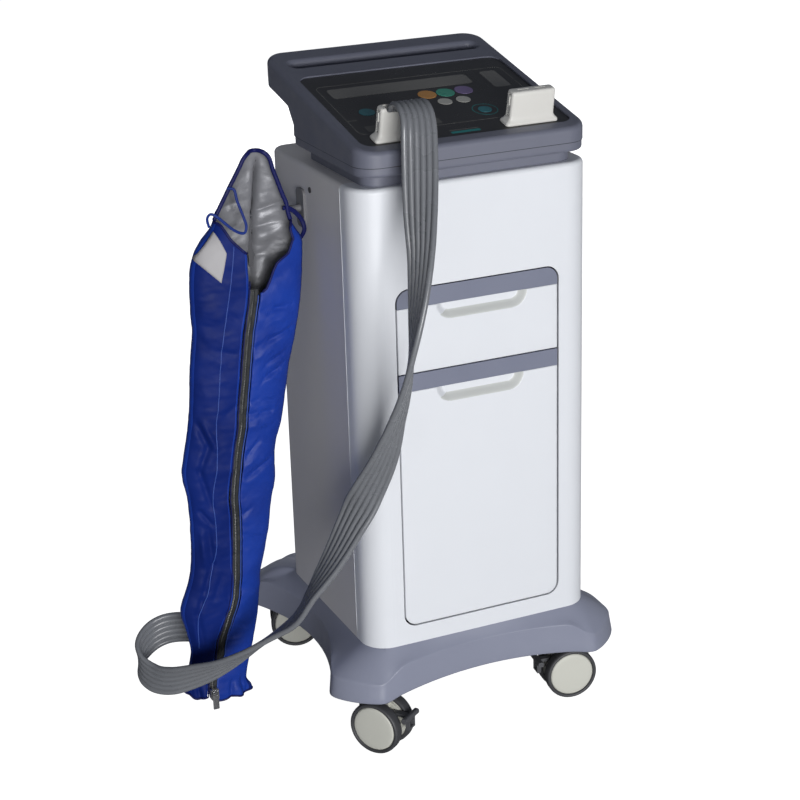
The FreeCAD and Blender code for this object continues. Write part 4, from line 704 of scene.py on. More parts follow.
# ------------------------------------------------------------------ drawer fronts and shell edges
def drawer_front(tag, z0, z1, r_low, x0, x1, scoop_h, wall=13.0, deep=8.8):
    """Drawer front with a soft-walled finger scoop that runs up under the grip strip."""
    edge = (0.0, 0.25, 0.7, 1.4)
    half = 124.0
    zb = z1 - scoop_h

    def spread(a, b, step):
        k = max(1, int(math.ceil((b - a) / step)))
        return [lerp(a, b, q / k) for q in range(1, k + 1)]

    rows = [z0 + e for e in edge]
    if r_low:
        rows += spread(rows[-1], z0 + r_low + 1, 1.2)
    rows += spread(rows[-1], zb - 1, 24)
    rows += spread(rows[-1], z1 - edge[-1], 0.65)
    rows += [z1 - e for e in reversed(edge[:-1])]
    cols_ = [-half + e for e in edge]
    cols_ += spread(cols_[-1], x0 - 1, 14)
    cols_ += spread(cols_[-1], x0 + 26, 0.8)
    cols_ += spread(cols_[-1], x1 - 26, 5)
    cols_ += spread(cols_[-1], x1 + 1, 0.8)
    cols_ += spread(cols_[-1], half - edge[-1], 14)
    cols_ += [half - e for e in reversed(edge[:-1])]
    nr, nc_ = len(rows), len(cols_)

    def narrow(z):
        if r_low and z < z0 + r_low:
            return half - (r_low - math.sqrt(max(0.0, r_low ** 2 - (r_low - (z - z0)) ** 2)))
        return half

    def inset(x, z):
        # distance in from a rounded outline that is open at its top
        cx, cz, rad = (x0 + x1) / 2, zb + 60.0, 24.0
        qx, qz = abs(x - cx) - ((x1 - x0) / 2 - rad), abs(z - cz) - (60.0 - rad)
        return rad - math.hypot(max(qx, 0), max(qz, 0)) - min(max(qx, qz), 0)

    verts, mats = [], []
    for z in rows:
        k = narrow(z) / half
        for x in cols_:
            xx = x * k
            d = min(half * k - abs(xx), z - z0, z1 - z)
            if r_low and z < z0 + r_low and abs(xx) > half - r_low:
                d = r_low - math.hypot(abs(xx) - (half - r_low), z0 + r_low - z)
            d = max(0.0, min(1.4, d))
            soft = 1.4 - math.sqrt(max(0.0, 1.4 ** 2 - (1.4 - d) ** 2))
            verts.append((xx, -159.0 + soft * 0.8 + deep * smooth01(inset(xx, z) / wall), z))
    for i in range(nr - 1):
        for j in range(nc_ - 1):
            z, x = (rows[i] + rows[i + 1]) / 2, (cols_[j] + cols_[j + 1]) / 2
            d = inset(x, z)
            gx, gz = inset(x + 0.5, z) - inset(x - 0.5, z), inset(x, z + 0.5) - inset(x, z - 0.5)
            shade_wall_weight = max(0.0, min(1.0, (gx * -0.6 + gz * 0.8 - 0.05) / 0.5))
            # the scoop's lower and right walls take the greyer white: painted shade on walls turned from the light
            mats.append(1 if 1.2 < d < 1.2 + 10.5 * shade_wall_weight else 0)
    faces = grid_faces(nr, nc_)
    loop = [j for j in range(nc_)] + [i * nc_ + nc_ - 1 for i in range(1, nr)]
    loop += [(nr - 1) * nc_ + j for j in range(nc_ - 2, -1, -1)] + [i * nc_ for i in range(nr - 2, 0, -1)]
    b0 = len(verts)
    verts += [(verts[q][0], -145.0, verts[q][2]) for q in loop]
    nl = len(loop)
    faces += [(loop[q], b0 + q, b0 + (q + 1) % nl, loop[(q + 1) % nl]) for q in range(nl)]
    faces.append(tuple(b0 + q for q in range(nl)))
    o = make("drawer_%s_front" % tag, verts, faces, [WHITE, SCOOP_SHADE_WHITE], body="drawer_" + tag,
             face_mats=mats + [0] * (nl + 1))
    smooth_by_angle(o, 42)
    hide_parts("drawer_%s_panel" % tag)
    return o


drawer_front("upper", 575.5, 669.9, 0.0, -66.0, 77.0, 24.5)
drawer_front("lower", 189.0, 548.5, 18.0, -68.0, 71.0, 25.0)
for tag, sx in (("left", -1), ("right", 1)):
    tube("shell_edge_" + tag, [Vector((sx * 179.9, -106.2, lerp(172, 836, k / 40))) for k in range(41)], 0.7, WHITE, seg=10)

# ------------------------------------------------------------------ casters
stems = {"fl": (-178, -134, 36.0), "fr": (178, -134, -98.0), "bl": (-178, 227, 72.0), "br": (178, 227, 205.0)}
for tag, (sx, sy, yaw_) in stems.items():
    rot = Matrix.Rotation(math.radians(yaw_), 3, "Z")
    centre = Vector((sx, sy, 40.0)) + rot @ Vector((0, -23, 0))

    def at(p, rot=rot, centre=centre):
        return rot @ p + centre

    disc, tyre = [], []
    for sgn in (1, -1):
        disc_p = [(0, 26.9), (14, 26.75), (26, 26.5), (31.2, 26.1), (32.6, 25.7), (33.5, 24.6),
                  (34.0, 23.0), (34.0, 11.5), (33.4, 10.0), (31, 9.3), (22, 9.3), (20, 10.6), (11, 10.6), (10, 9.3), (0, 9.3)]
        tyre_p = [(34.02, 11.2), (34.6, 9.8), (36.2, 9.15), (38.3, 9.6), (39.5, 11.2), (40.0, 13.6), (40.0, 22.6),
                  (39.6, 24.8), (38.6, 26.4), (37.0, 26.95), (35.4, 26.6), (34.4, 25.5), (34.02, 23.5)]
        disc.append([(r, h * sgn) for r, h in disc_p])
        tyre.append([(r, h * sgn) for r, h in tyre_p])
    ds = [lathe("caster_%s_disc_%d" % (tag, i), d, HUB, "caster_%s_wheel" % tag, at, 72) for i, d in enumerate(disc)]
    ts = [lathe("caster_%s_tread_%d" % (tag, i), d, TYRE, "caster_%s_wheel" % tag, at, 72, closed=True) for i, d in enumerate(tyre)]
    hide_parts("caster_%s_wheels" % tag)
    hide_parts("caster_%s_tyres" % tag)

# ------------------------------------------------------------------ console details
def panel_line(name, pts, width, mat, n=-1.93, closed=False, thick=0.1):
    """Printed line of constant width on the key panel."""
    k = len(pts)
    P = [Vector(p) for p in pts]
    verts = []
    for i in range(k):
        a = P[i - 1] if (closed or i) else P[i]
        b = P[(i + 1) % k] if (closed or i < k - 1) else P[i]
        t = (b - a).normalized()
        nn = Vector((-t.y, t.x)) * width / 2
        for q, h in ((-1, n - thick), (-1, n), (1, n), (1, n - thick)):
            c = P[i] + nn * q
            verts.append(pan(c.x, c.y, h))
    faces = grid_faces(k, 4, wrap=True)
    if closed:
        faces += [((k - 1) * 4 + q, (k - 1) * 4 + (q + 1) % 4, (q + 1) % 4, q) for q in range(4)]
    else:
        faces += [(0, 1, 2, 3), tuple(reversed(range((k - 1) * 4, k * 4)))]
    o = make(name, verts, faces, [mat], smooth=False)
    return o


def plate(name, u0, u1, v0, v1, r, mat, n=-1.94, low=-2.3):
    return panel_box(u0, u1, v0, v1, low, n, r, name, [mat])


border = [(x, 124.5 + y) for x, y in rounded_rect(145, 82.5, 10, 8)]
panel_line("panel_border", border, 0.7, PRINT_S, closed=True)
panel_line("panel_short_line", [(-145, 88), (-131, 88)], 0.7, PRINT_S)
ring_pts = [(56.6 + 18 * math.cos(math.radians(a)), 73 + 18 * math.sin(math.radians(a))) for a in range(0, 360, 6)]
panel_line("key_ring_line", ring_pts, 1.0, PRINT_T, closed=True)
plate("panel_grey_bar", -130, -20, 48, 66, 3, PRINT_G)
plate("panel_accent_bar", -23.5, 20.5, 10.8, 17.0, 2.4, PRINT_T)
panel_line("panel_rule", [(-23.5, 20.8), (20.5, 20.8)], 0.9, PRINT_S)
b1 = plate("window_back_long", -135.9, 85.9, 160.1, 197.9, 0.4, FILM, n=-2.02, low=-3.6)
b2 = plate("window_back_small", 104.7, 133.9, 136.6, 198.9, 0.4, FILM, n=-2.02, low=-3.6)
w1 = plate("window_long", -133, 83, 163, 195, 6, WINDOW, n=-1.9, low=-2.2)
w2 = plate("window_small", 106.5, 132, 139, 196.5, 5, WINDOW, n=-1.9, low=-2.2)
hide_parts("display_windows")

# joint between the lower and upper console cases, a dark gasket line
GASKET = material("gasket_dark", (0.03, 0.032, 0.04, 1), rough=0.6, tint=0.05, grain=0.1)
cw, cd0, cd1 = 173.0, -166.0, 85.0
loop = []
for cx, cyy, r, a0 in ((cw - 32, cd0 + 32, 32, -90), (cw - 15, cd1 - 15, 15, 0), (-cw + 15, cd1 - 15, 15, 90), (-cw + 32, cd0 + 32, 32, 180)):
    for k in range(13):
        a = math.radians(a0 + 90 * k / 12)
        loop.append((Vector((cx, cyy)), r, a))
seam_rings = []
for z, d in ((870.9, -1.6), (870.9, -0.75), (872.05, -0.75), (872.05, -1.6)):
    seam_rings.append([(c.x + (r + d) * math.cos(a), c.y + (r + d) * math.sin(a), z) for c, r, a in loop])
seam = loft("console_gasket", seam_rings + [seam_rings[0]], [GASKET], cap0=False, cap1=False, angle=30)


# ------------------------------------------------------------------ plugs
def plug_body(name, uc, hollow):
    prof = [(-1.95, 38.9, 11.6, 3.6), (-1.2, 39.7, 12.3, 4.2), (0.4, 40.0, 12.6, 4.6), (1.8, 39.6, 12.3, 4.7), (3.2, 38.4, 11.5, 4.6),
            (5.0, 36.4, 10.4, 4.5), (7.0, 34.9, 9.6, 4.4), (9.5, 34.0, 9.15, 4.3), (12.5, 33.75, 9.0, 4.2), (20, 33.7, 8.95, 4.2),
            (30, 33.6, 8.9, 4.2), (38, 33.5, 8.85, 4.2), (41.5, 33.4, 8.75, 4.1), (43.5, 33.1, 8.4, 3.9), (45.0, 32.3, 7.6, 3.5),
            (45.8, 31.2, 6.5, 3.0), (46.0, 30.2, 5.6, 2.6)]
    rings_ = [[pan(uc + x, 20 + y, n) for x, y in rounded_rect(w, d, r, 6)] for n, w, d, r in prof]
    b = loft(name, rings_, [PLUG], cap0=True, cap1=True, angle=30)
    face = uc - 33.75
    cuts = [panel_box(face - 6, face + 4.6, 20 - 3.3, 20 + 3.3, 10.2, 41.8, 1.0)]
    if hollow:
        cuts.append(panel_box(uc - 26.6, uc + 26.6, 20 - 6.4, 20 + 6.4, 12, 70, 2.5))
        # saddle in the front wall that the hose lies in
        sect = [(-25.6, 60), (-25.6, 44.5), (-24.8, 41.8), (-22.6, 40.4), (22.6, 40.4), (24.8, 41.8), (25.6, 44.5), (25.6, 60)]
        cuts.append(cutter([[pan(uc + x, v, n) for x, n in sect] for v in (4.0, 18.0)]))
    else:
        for x0 in (-22.0, 4.0):
            cuts.append(panel_box(uc + x0, uc + x0 + 18, 20 - 1.5, 20 + 1.5, 44.9, 60, 1.4))
    carve(b, cuts)
    smooth_by_angle(b, 30)
    # dark line of the release lever's slot
    liner = panel_box(face + 4.40, face + 4.56, 20 - 3.2, 20 + 3.2, 10.3, 41.7, 0.9, name + "_slot_floor", [K_DARK])
    return b, liner


K_DARK = material("slot_shadow_plastic", (0.10, 0.10, 0.095, 1), rough=0.6, tint=0.04, grain=0.1)
hp, hp_l = plug_body("hose_plug_shell", -97.5, True)
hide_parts("hose_plug")
bp, bp_l = plug_body("blanking_plug_shell", 97.5, False)
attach(bp, "blanking_plug")
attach(bp_l, "blanking_plug")
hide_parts("blanking_plug")

# ------------------------------------------------------------------ leg sleeve
def cloth(name, colour, dark, rough, sheen, metal=0.0, fold=0.5, fold_scale=34.0, spec=0.5, weave=0.25):
    """Coated nylon: soft sheen, fine weave and shallow crumples."""
    m = bpy.data.materials.new(name)
    m.use_nodes = True
    nt = m.node_tree
    nt.nodes.clear()
    out = nt.nodes.new("ShaderNodeOutputMaterial")
    bs = nt.nodes.new("ShaderNodeBsdfPrincipled")
    nt.links.new(bs.outputs[0], out.inputs[0])
    bs.inputs["Metallic"].default_value = metal
    bs.inputs["Specular IOR Level"].default_value = spec
    bs.inputs["Sheen Weight"].default_value = sheen
    bs.inputs["Sheen Roughness"].default_value = 0.45
    bs.inputs["Sheen Tint"].default_value = (0.45, 0.55, 1.0, 1)
    tc = nt.nodes.new("ShaderNodeTexCoord")
    big = nt.nodes.new("ShaderNodeTexNoise")
    big.inputs["Scale"].default_value = 11
    big.inputs["Detail"].default_value = 5
    nt.links.new(tc.outputs["Object"], big.inputs["Vector"])
    mix = nt.nodes.new("ShaderNodeMix")
    mix.data_type = "RGBA"
    mix.inputs[6].default_value = (*dark, 1)
    mix.inputs[7].default_value = (*colour, 1)
    mr = nt.nodes.new("ShaderNodeMapRange")
    mr.inputs["From Min"].default_value = 0.35
    mr.inputs["From Max"].default_value = 0.62
    nt.links.new(big.outputs["Fac"], mr.inputs["Value"])
    nt.links.new(mr.outputs[0], mix.inputs[0])
    nt.links.new(mix.outputs[2], bs.inputs["Base Color"])
    rn = nt.nodes.new("ShaderNodeTexNoise")
    rn.inputs["Scale"].default_value = 46
    rn.inputs["Detail"].default_value = 5
    nt.links.new(tc.outputs["Object"], rn.inputs["Vector"])
    r2_ = nt.nodes.new("ShaderNodeMapRange")
    r2_.inputs["To Min"].default_value = rough - 0.08
    r2_.inputs["To Max"].default_value = rough + 0.08
    r2_.inputs["From Min"].default_value = 0.3
    r2_.inputs["From Max"].default_value = 0.7
    nt.links.new(rn.outputs["Fac"], r2_.inputs["Value"])
    nt.links.new(r2_.outputs[0], bs.inputs["Roughness"])
    # crumples, then the weave on top of them
    mp = nt.nodes.new("ShaderNodeMapping")
    mp.inputs["Scale"].default_value = (1.0, 1.0, 1.7)
    nt.links.new(tc.outputs["Object"], mp.inputs["Vector"])
    cr = nt.nodes.new("ShaderNodeTexNoise")
    cr.inputs["Scale"].default_value = fold_scale
    cr.inputs["Detail"].default_value = 4
    cr.inputs["Distortion"].default_value = 0.9
    nt.links.new(mp.outputs[0], cr.inputs["Vector"])
    b1_ = nt.nodes.new("ShaderNodeBump")
    b1_.inputs["Strength"].default_value = fold
    b1_.inputs["Distance"].default_value = 0.004
    nt.links.new(cr.outputs["Fac"], b1_.inputs["Height"])
    wv = nt.nodes.new("ShaderNodeTexVoronoi")
    wv.inputs["Scale"].default_value = 1500
    nt.links.new(tc.outputs["Object"], wv.inputs["Vector"])
    b2_ = nt.nodes.new("ShaderNodeBump")
    b2_.inputs["Strength"].default_value = weave
    b2_.inputs["Distance"].default_value = 0.00025
    nt.links.new(wv.outputs["Distance"], b2_.inputs["Height"])
    nt.links.new(b1_.outputs[0], b2_.inputs["Normal"])
    nt.links.new(b2_.outputs[0], bs.inputs["Normal"])
    return m


BLUE = cloth("sleeve_blue_nylon", (0.0092, 0.044, 0.33), (0.007, 0.031, 0.25), 0.46, 0.04, fold=0.20, fold_scale=20, spec=0.24)
# darker copy of the sleeve blue: painted shade on the left panel and the right edge, which turn from the light
BLUE_SHADE = cloth("sleeve_blue_painted_shade", (0.0060, 0.0205, 0.165), (0.0045, 0.0145, 0.120), 0.46, 0.0, fold=0.14, fold_scale=16, spec=0.08)
BIND = cloth("sleeve_binding", (0.008, 0.011, 0.095), (0.006, 0.008, 0.070), 0.50, 0.0, fold=0.2, fold_scale=90, spec=0.2)
CORD_B = cloth("sleeve_loop_tape", (0.013, 0.036, 0.22), (0.010, 0.026, 0.165), 0.50, 0.05, fold=0.15, fold_scale=90, spec=0.2)
LINING = cloth("sleeve_lining", (0.235, 0.238, 0.258), (0.165, 0.168, 0.182), 0.42, 0.0, metal=0.2, fold=0.5, fold_scale=22)
# near-black lining: painted shadow in the hood pleat's valley
LINING_FOLD_SHADOW = cloth("sleeve_lining_painted_fold_shadow", (0.026, 0.026, 0.028), (0.018, 0.018, 0.019), 0.60, 0.0, fold=0.3, fold_scale=30, spec=0.1)
ZTAPE = cloth("zip_tape", (0.015, 0.017, 0.019), (0.010, 0.011, 0.013), 0.60, 0.0, fold=0.1, fold_scale=60)
ZTEETH = material("zip_coil", (0.030, 0.032, 0.032, 1), rough=0.35, tint=0.2, tint_scale=300, grain=0.5, grain_scale=1200)
LABEL = material("sleeve_label_cloth", (0.42, 0.41, 0.42, 1), rough=0.62, tint=0.06, grain=0.3, grain_scale=1400)
THREAD = material("sleeve_thread", (0.030, 0.075, 0.34, 1), rough=0.5, tint=0.15, tint_scale=200, grain=0.4, grain_scale=2200)

OUT_L = [(52, -419), (72, -418), (87, -417), (104, -411), (120, -406), (144, -402.5), (175, -407), (208, -413), (233, -406),
         (267, -394), (327, -389.5), (382, -390.5), (422, -396), (452, -391), (503, -380.5), (579, -373), (632, -366), (666, -366.5),
         (718, -363.5), (746, -355), (758, -347), (774, -331), (795, -319.5), (829, -299.5), (848, -287.5), (860, -280), (862, -280), (867, -277), (871, -273.5), (873.5, -270), (874.5, -267)]
OUT_R = [(52, -318), (66, -316), (80, -320), (137, -306), (201, -293), (250, -287), (282, -279), (330, -269), (367, -263), (390, -257),
         (421, -255.5), (449, -253), (478, -242.5), (546, -230), (607, -214.5), (660, -204), (693, -200), (730, -197.5), (748, -199),
         (760, -206), (773, -212.5), (799, -219), (820, -225), (836, -229.5), (851, -234), (862, -237.2), (867, -239.5), (871, -242.5), (873.5, -246), (874.5, -249)]
DEPTH = [(52, 11, 10), (69, 14, 12), (100, 15, 13), (133, 16.5, 14), (214, 19, 16), (314, 21, 18), (409, 23, 19), (491, 23, 20), (620, 24, 21),
         (705, 24, 22), (765, 22, 22), (800, 15, 19), (845, 8, 15), (876, 4, 11)]
ZIP = [(60, -379), (79, -377), (101, -373), (124, -364), (155, -358), (184, -348), (210, -338), (229, -333.5), (290, -329), (351, -326.5),
       (381, -327), (440, -319), (482, -310.5), (568, -299), (624, -291), (665, -283), (686, -280), (730, -278.5), (800, -275), (880, -270)]
HEM = [(-425, 92), (-418, 86), (-409, 74), (-400, 70), (-383, 67.5), (-374, 62), (-366, 58.5), (-354, 57.5), (-342, 59.5), (-331, 58.5), (-322, 57), (-312, 62)]
FLAP_L = [(-352, 787), (-343, 788.5), (-334, 787), (-326, 785), (-319, 781.5), (-313, 771), (-309, 763), (-298, 750), (-287, 739), (-281, 733), (-279, 733)]
FLAP_R = [(-268, 681), (-264, 683), (-258, 689), (-254, 697), (-251.5, 704), (-248, 714.5), (-242, 721), (-235, 725), (-227, 729), (-222, 733), (-219.5, 745), (-216, 768), (-212, 772), (-200, 773)]
S_L, S_R = 0.262, 0.770
rnd = (11.3, 4.7, 8.9)


def fbm(x, y, z, n=3):
    return sum(noise.noise(Vector((x * 2 ** k + rnd[0], y * 2 ** k + rnd[1], z * 2 ** k + rnd[2]))) / 2 ** k for k in range(n))


# (x, z) ends of the folds pressed into the cloth, depth and half width in mm; negative stands proud
FOLDS = [((-270, 655), (-222, 653), 4.0, 5.5), ((-279, 603), (-222, 620), 4.5, 5.5), ((-268, 574), (-226, 590), 3.0, 4.5),
         ((-273, 553), (-240, 567), 3.5, 4.5), ((-298, 504), (-263, 502), 3.6, 5), ((-290, 522), (-240, 516), 2.2, 5),
         ((-306, 409), (-269, 427), 4.0, 5.5), ((-304, 441), (-286, 459), 3.2, 4.5), ((-318, 350), (-303, 359), 2.6, 4),
         ((-312, 318), (-283, 306), 2.2, 6), ((-270, 690), (-236, 700), 2.0, 7), ((-262, 636), (-226, 640), -2.6, 6),
         ((-285, 585), (-262, 592), -2.6, 5), ((-300, 486), (-268, 486), -2.4, 6), ((-310, 425), (-290, 436), -2.2, 5),
         ((-374, 502), (-360, 463), 4.0, 6), ((-360, 463), (-375, 428), 4.0, 6), ((-375, 428), (-361, 372), 4.0, 6),
         ((-364, 500), (-350, 462), -3.0, 6), ((-378, 367), (-363, 346), 3.6, 4.5), ((-368, 338), (-365, 283), 3.4, 5.5),
         ((-378, 330), (-376, 285), -2.6, 5), ((-365, 283), (-380, 240), 2.8, 5.5), ((-380, 240), (-392, 205), 3.0, 6),
         ((-392, 205), (-386, 160), 3.0, 6), ((-398, 190), (-393, 150), -2.2, 5), ((-352, 262), (-366, 226), 2.4, 5),
         ((-350, 175), (-372, 148), 2.6, 5), ((-335, 180), (-309, 168), 2.4, 6), ((-338, 128), (-312, 120), 2.4, 6),
         ((-345, 240), (-344, 214), 2.2, 4), ((-321, 235), (-293, 226), 2.0, 6), ((-395, 120), (-372, 112), 2.8, 6),
         ((-384, 96), (-376, 66), 3.4, 4), ((-400, 92), (-396, 68), 3.6, 4), ((-346, 84), (-350, 57), 3.6, 4), ((-330, 86), (-328, 57), 3.6, 4),
         ((-336, 604), (-316, 598), 1.8, 6), ((-330, 512), (-314, 520), 2.2, 5), ((-372, 640), (-352, 610), 1.6, 8), ((-300, 640), (-318, 655), 1.6, 6)]


def fold_depth(x, z):
    d = 0.0
    for (x0, z0), (x1, z1), depth, w in FOLDS:
        if z < min(z0, z1) - 3 * w or z > max(z0, z1) + 3 * w:
            continue
        vx, vz = x1 - x0, z1 - z0
        ll = vx * vx + vz * vz
        t = ((x - x0) * vx + (z - z0) * vz) / ll
        c = max(0.0, min(1.0, t))
        dd = math.hypot(x - x0 - c * vx, z - z0 - c * vz) / w
        if dd < 3:
            d += depth * math.exp(-dd * dd * 1.6) * (1 - 0.45 * abs(2 * c - 1))
    return d


def section(z):
    xl, xr = table(OUT_L, z)[0], table(OUT_R, z)[0]
    bf, bb = table(DEPTH, z)
    return (xl + xr) / 2, (xr - xl) / 2, bf, bb


def turn(s, z):
    """Angle round the sleeve for a column: 90 deg is the front, 180 the left edge, 270 the back."""
    xc, a, bf, bb = section(z)
    zx = table(ZIP, z)[0]
    c = max(-0.92, min(0.92, (zx - xc) / a))
    pz = math.acos(c)
    half = 6.4 / (a * math.sin(pz))
    if s < S_L:
        return lerp(pz + half, math.pi, s / S_L)
    if s < S_R:
        return lerp(math.pi, 2 * math.pi, (s - S_L) / (S_R - S_L))
    return lerp(2 * math.pi, pz - half + 2 * math.pi, (s - S_R) / (1 - S_R))


def pleat_x(z):
    return lerp(-273.3, -252.3, (z - 640) / 235)


def skin_at(phi, z, out=0.0):
    xc, a, bf, bb = section(z)
    c, s_ = math.cos(phi), math.sin(phi)
    e = 0.86
    x = xc + a * math.copysign(abs(c) ** e, c)
    front = s_ > 0
    b = bf if front else bb
    y = -b * math.copysign(abs(s_) ** e, s_)
    nx, ny = c / a, -s_ / b
    ln = math.hypot(nx, ny)
    nx, ny = nx / ln, ny / ln
    face = min(1.0, abs(s_) * 1.6)
    d = 0.0
    if front:
        d -= fold_depth(x, z) * face
    side = 0.0 if front else 5.0
    d += (1.7 * fbm(x / 46, side, z / 30, 3) + 0.9 * (abs(fbm(x / 26, side + 3, z / 15, 2)) - 0.3)) * (0.35 + 0.65 * face)
    # the hood hangs in a deep pleat from its tip
    if not front and z > 640:
        g = smooth01((z - 640) / 60) * (1 - smooth01((z - 840) / 30))
        px = pleat_x(z)
        q = (x - px) / 3.8
        d += 13.0 * math.exp(-q * q) * g
        q2 = (x - px - 15) / 10.0
        d -= 3.0 * math.exp(-q2 * q2) * g
        for zc, xc2, w, dd in ((792, -238, 5.5, 6.0), (752, -240, 9.0, -5.0), (800, -300, 6, 4.0), (722, -262, 8, 4.0), (764, -252, 6, 3.5)):
            q3 = (z - zc - 0.25 * (x - xc2)) / w
            q4 = (x - xc2) / 22.0
            d += dd * math.exp(-q3 * q3 - q4 * q4)
    return Vector((x + nx * (d + out), y + ny * (d + out), z))


NC, MR, MH = 190, 300, 44
cols = [(i / (NC - 1)) for i in range(NC)]
il, ir = round(S_L * (NC - 1)), round(S_R * (NC - 1))
cols[il], cols[ir] = S_L, S_R
top_z, bot_z = [], []
for s in cols:
    # lower edge: depends on where the column comes down
    xb = section(66)[0] + section(66)[1] * math.cos(turn(s, 66))
    zb = table(HEM, xb)[0] + 1.6 * math.sin(xb / 5.2) * (1 if s < S_L or s > S_R else -1)
    bot_z.append(zb)
    if S_L <= s <= S_R:
        top_z.append(lerp(787.0, 772.5, (s - S_L) / (S_R - S_L)))
    else:
        rows_, z = (FLAP_L if s < S_L else FLAP_R), 740.0
        for _ in range(14):
            p = skin_at(turn(s, z), z)
            z = lerp(z, table(rows_, p.x)[0], 0.6)
        top_z.append(z)
# iron the flap edges a little so that rows do not jump
for _ in range(2):
    keep = list(top_z)
    for i in list(range(1, il)) + list(range(ir + 1, NC - 1)):
        top_z[i] = (keep[i - 1] + 2 * keep[i] + keep[i + 1]) / 4
sv, sf, smat = [], [], []
for r in range(MR + 1):
    t = r / MR
    for i, s in enumerate(cols):
        z = lerp(bot_z[i], top_z[i], t)
        flare = 5.0 * (1 - smooth01((z - bot_z[i]) / 24.0))
        ruff = flare * (0.55 * math.sin(s * 43.0) + 0.3 * math.sin(s * 71.0 + 1.0)) if flare > 0 else 0
        sv.append(skin_at(turn(s, z), z, flare * 0.5 + ruff))
for r in range(MR):
    for i in range(NC - 1):
        a = r * NC + i
        sf.append((a, a + 1, a + NC + 1, a + NC))
        # material 3, the darker blue, is painted shade on the left panel and high up on the right edge
        high = lerp(bot_z[i], top_z[i], t) > 560
        smat.append(3 if (0 < i < S_L * NC * 0.78) or (high and ir <= i < ir + 9) else 0)
base_row = MR * NC
hood_cols = list(range(il, ir + 1))
hn = len(hood_cols)
first = len(sv)
for r in range(1, MH + 1):
    t = r / MH
    for i in hood_cols:
        z = lerp(top_z[i], 874.5, t)
        sv.append(skin_at(turn(cols[i], z), z))


def hood_index(r, k):
    return base_row + hood_cols[k] if r == 0 else first + (r - 1) * hn + k


for r in range(MH):
    for k in range(hn - 1):
        sf.append((hood_index(r, k), hood_index(r, k + 1), hood_index(r + 1, k + 1), hood_index(r + 1, k)))
        smat.append(0)
area_mm2 = 0.0
for f in sf:
    a, b, c, d = (sv[q] for q in f)
    area_mm2 += ((b - a).cross(c - a)).length / 2 + ((c - a).cross(d - a)).length / 2
me = bpy.data.meshes.new("sleeve_cloth")
me.from_pydata([tuple(v * MM) for v in sv], [], sf)
for m in (BLUE, LINING, BIND, BLUE_SHADE, LINING_FOLD_SHADOW):
    me.materials.append(m)
me.polygons.foreach_set("material_index", smat)
me.polygons.foreach_set("use_smooth", [True] * len(me.polygons))
sleeve = bpy.data.objects.new("sleeve_cloth", me)
scene.collection.objects.link(sleeve)
bm = bmesh.new()
bm.from_mesh(me)
bmesh.ops.recalc_face_normals(bm, faces=bm.faces)
# outward means away from the middle of the section
f0 = max(bm.faces, key=lambda f: -f.calc_center_median().y if f.calc_center_median().z < 0.6 else -9)
if f0.normal.y > 0:
    bmesh.ops.reverse_faces(bm, faces=bm.faces)
bm.to_mesh(me)
bm.free()
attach(sleeve, "body")
so = sleeve.modifiers.new("cloth_layers", "SOLIDIFY")
so.thickness = 2.6 * MM
so.offset = -1
so.use_quality_normals = True
so.material_offset = 0
apply_modifiers(sleeve)
# inner layer wears the lining, with a painted shadow along the pleat's valley, the cut edge the outer cloth
nq = len(sf)
for k, p in enumerate(sleeve.data.polygons):
    if nq <= k < 2 * nq:
        mid_ = sum((sv[q] for q in sf[k - nq]), Vector()) / 4
        in_fold_shadow = abs(mid_.x - pleat_x(mid_.z)) < 1.3 + 1.6 * smooth01((860 - mid_.z) / 120)
        p.material_index = 4 if in_fold_shadow and mid_.y > 2 and 690 < mid_.z < 862 else 1
    elif k >= 2 * nq:
        p.material_index = 2
sleeve.data.polygons.foreach_set("use_smooth", [True] * len(sleeve.data.polygons))
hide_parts("leg_sleeve")


def phi_for(x, z):
    """Front angle where the cloth passes x at height z."""
    lo, hi = 0.06, math.pi - 0.06
    for _ in range(34):
        mid = (lo + hi) / 2
        if skin_at(mid, z).x > x:
            lo = mid
        else:
            hi = mid
    return (lo + hi) / 2


def on_cloth(x, z, out=0.0):
    return skin_at(phi_for(x, z), z, out)


# zip: tape under the two edges with a row of coils along the middle
zz = [72 + (688 - 72) * k / 260 for k in range(261)]
tape_v, tape_n = [], 9
for z in zz:
    zx = table(ZIP, z)[0]
    xc, a, bf, bb = section(z)
    l, r = on_cloth(zx - 7.6, z, -1.6), on_cloth(zx + 7.6, z, -1.6)
    for q in range(tape_n):
        p = l.lerp(r, q / (tape_n - 1))
        tape_v.append(p + Vector((0, 0.5 * math.sin(math.pi * q / (tape_n - 1)) * -1, 0)))
tape = make("zip_tape_strip", tape_v, grid_faces(len(zz), tape_n), [ZTAPE])
so = tape.modifiers.new("tape_thickness", "SOLIDIFY")
so.thickness = 0.9 * MM
so.offset = 0
apply_modifiers(tape)
mid = []
for z in zz:
    zx = table(ZIP, z)[0]
    l, r = on_cloth(zx - 7.6, z, -1.6), on_cloth(zx + 7.6, z, -1.6)
    p = l.lerp(r, 0.5)
    mid.append(Vector((p.x, p.y - 1.2, z)))
coil_v, coil_f = [], []
fine = catmull(mid[::4], 8)
for k in range(len(fine)):
    p = fine[k]
    t = (fine[min(k + 1, len(fine) - 1)] - fine[max(k - 1, 0)]).normalized()
    w = t.cross(Vector((0, -1, 0))).normalized()
    u = Vector((0, -1, 0))
    bump = 0.35 if k % 2 else 0.0
    for dx, dy in ((-2.3, -0.6), (-2.1, 0.25 + bump), (-0.5, 0.7 + bump), (0, 0.25), (0.5, 0.7 + (0.35 - bump)), (2.1, 0.25 + (0.35 - bump)), (2.3, -0.6)):
        coil_v.append(p + w * dx + u * dy)
coil = make("zip_coils", coil_v, grid_faces(len(fine), 7, wrap=True) + [tuple(range(7)), tuple(reversed(range((len(fine) - 1) * 7, len(fine) * 7)))], [ZTEETH], smooth=False)
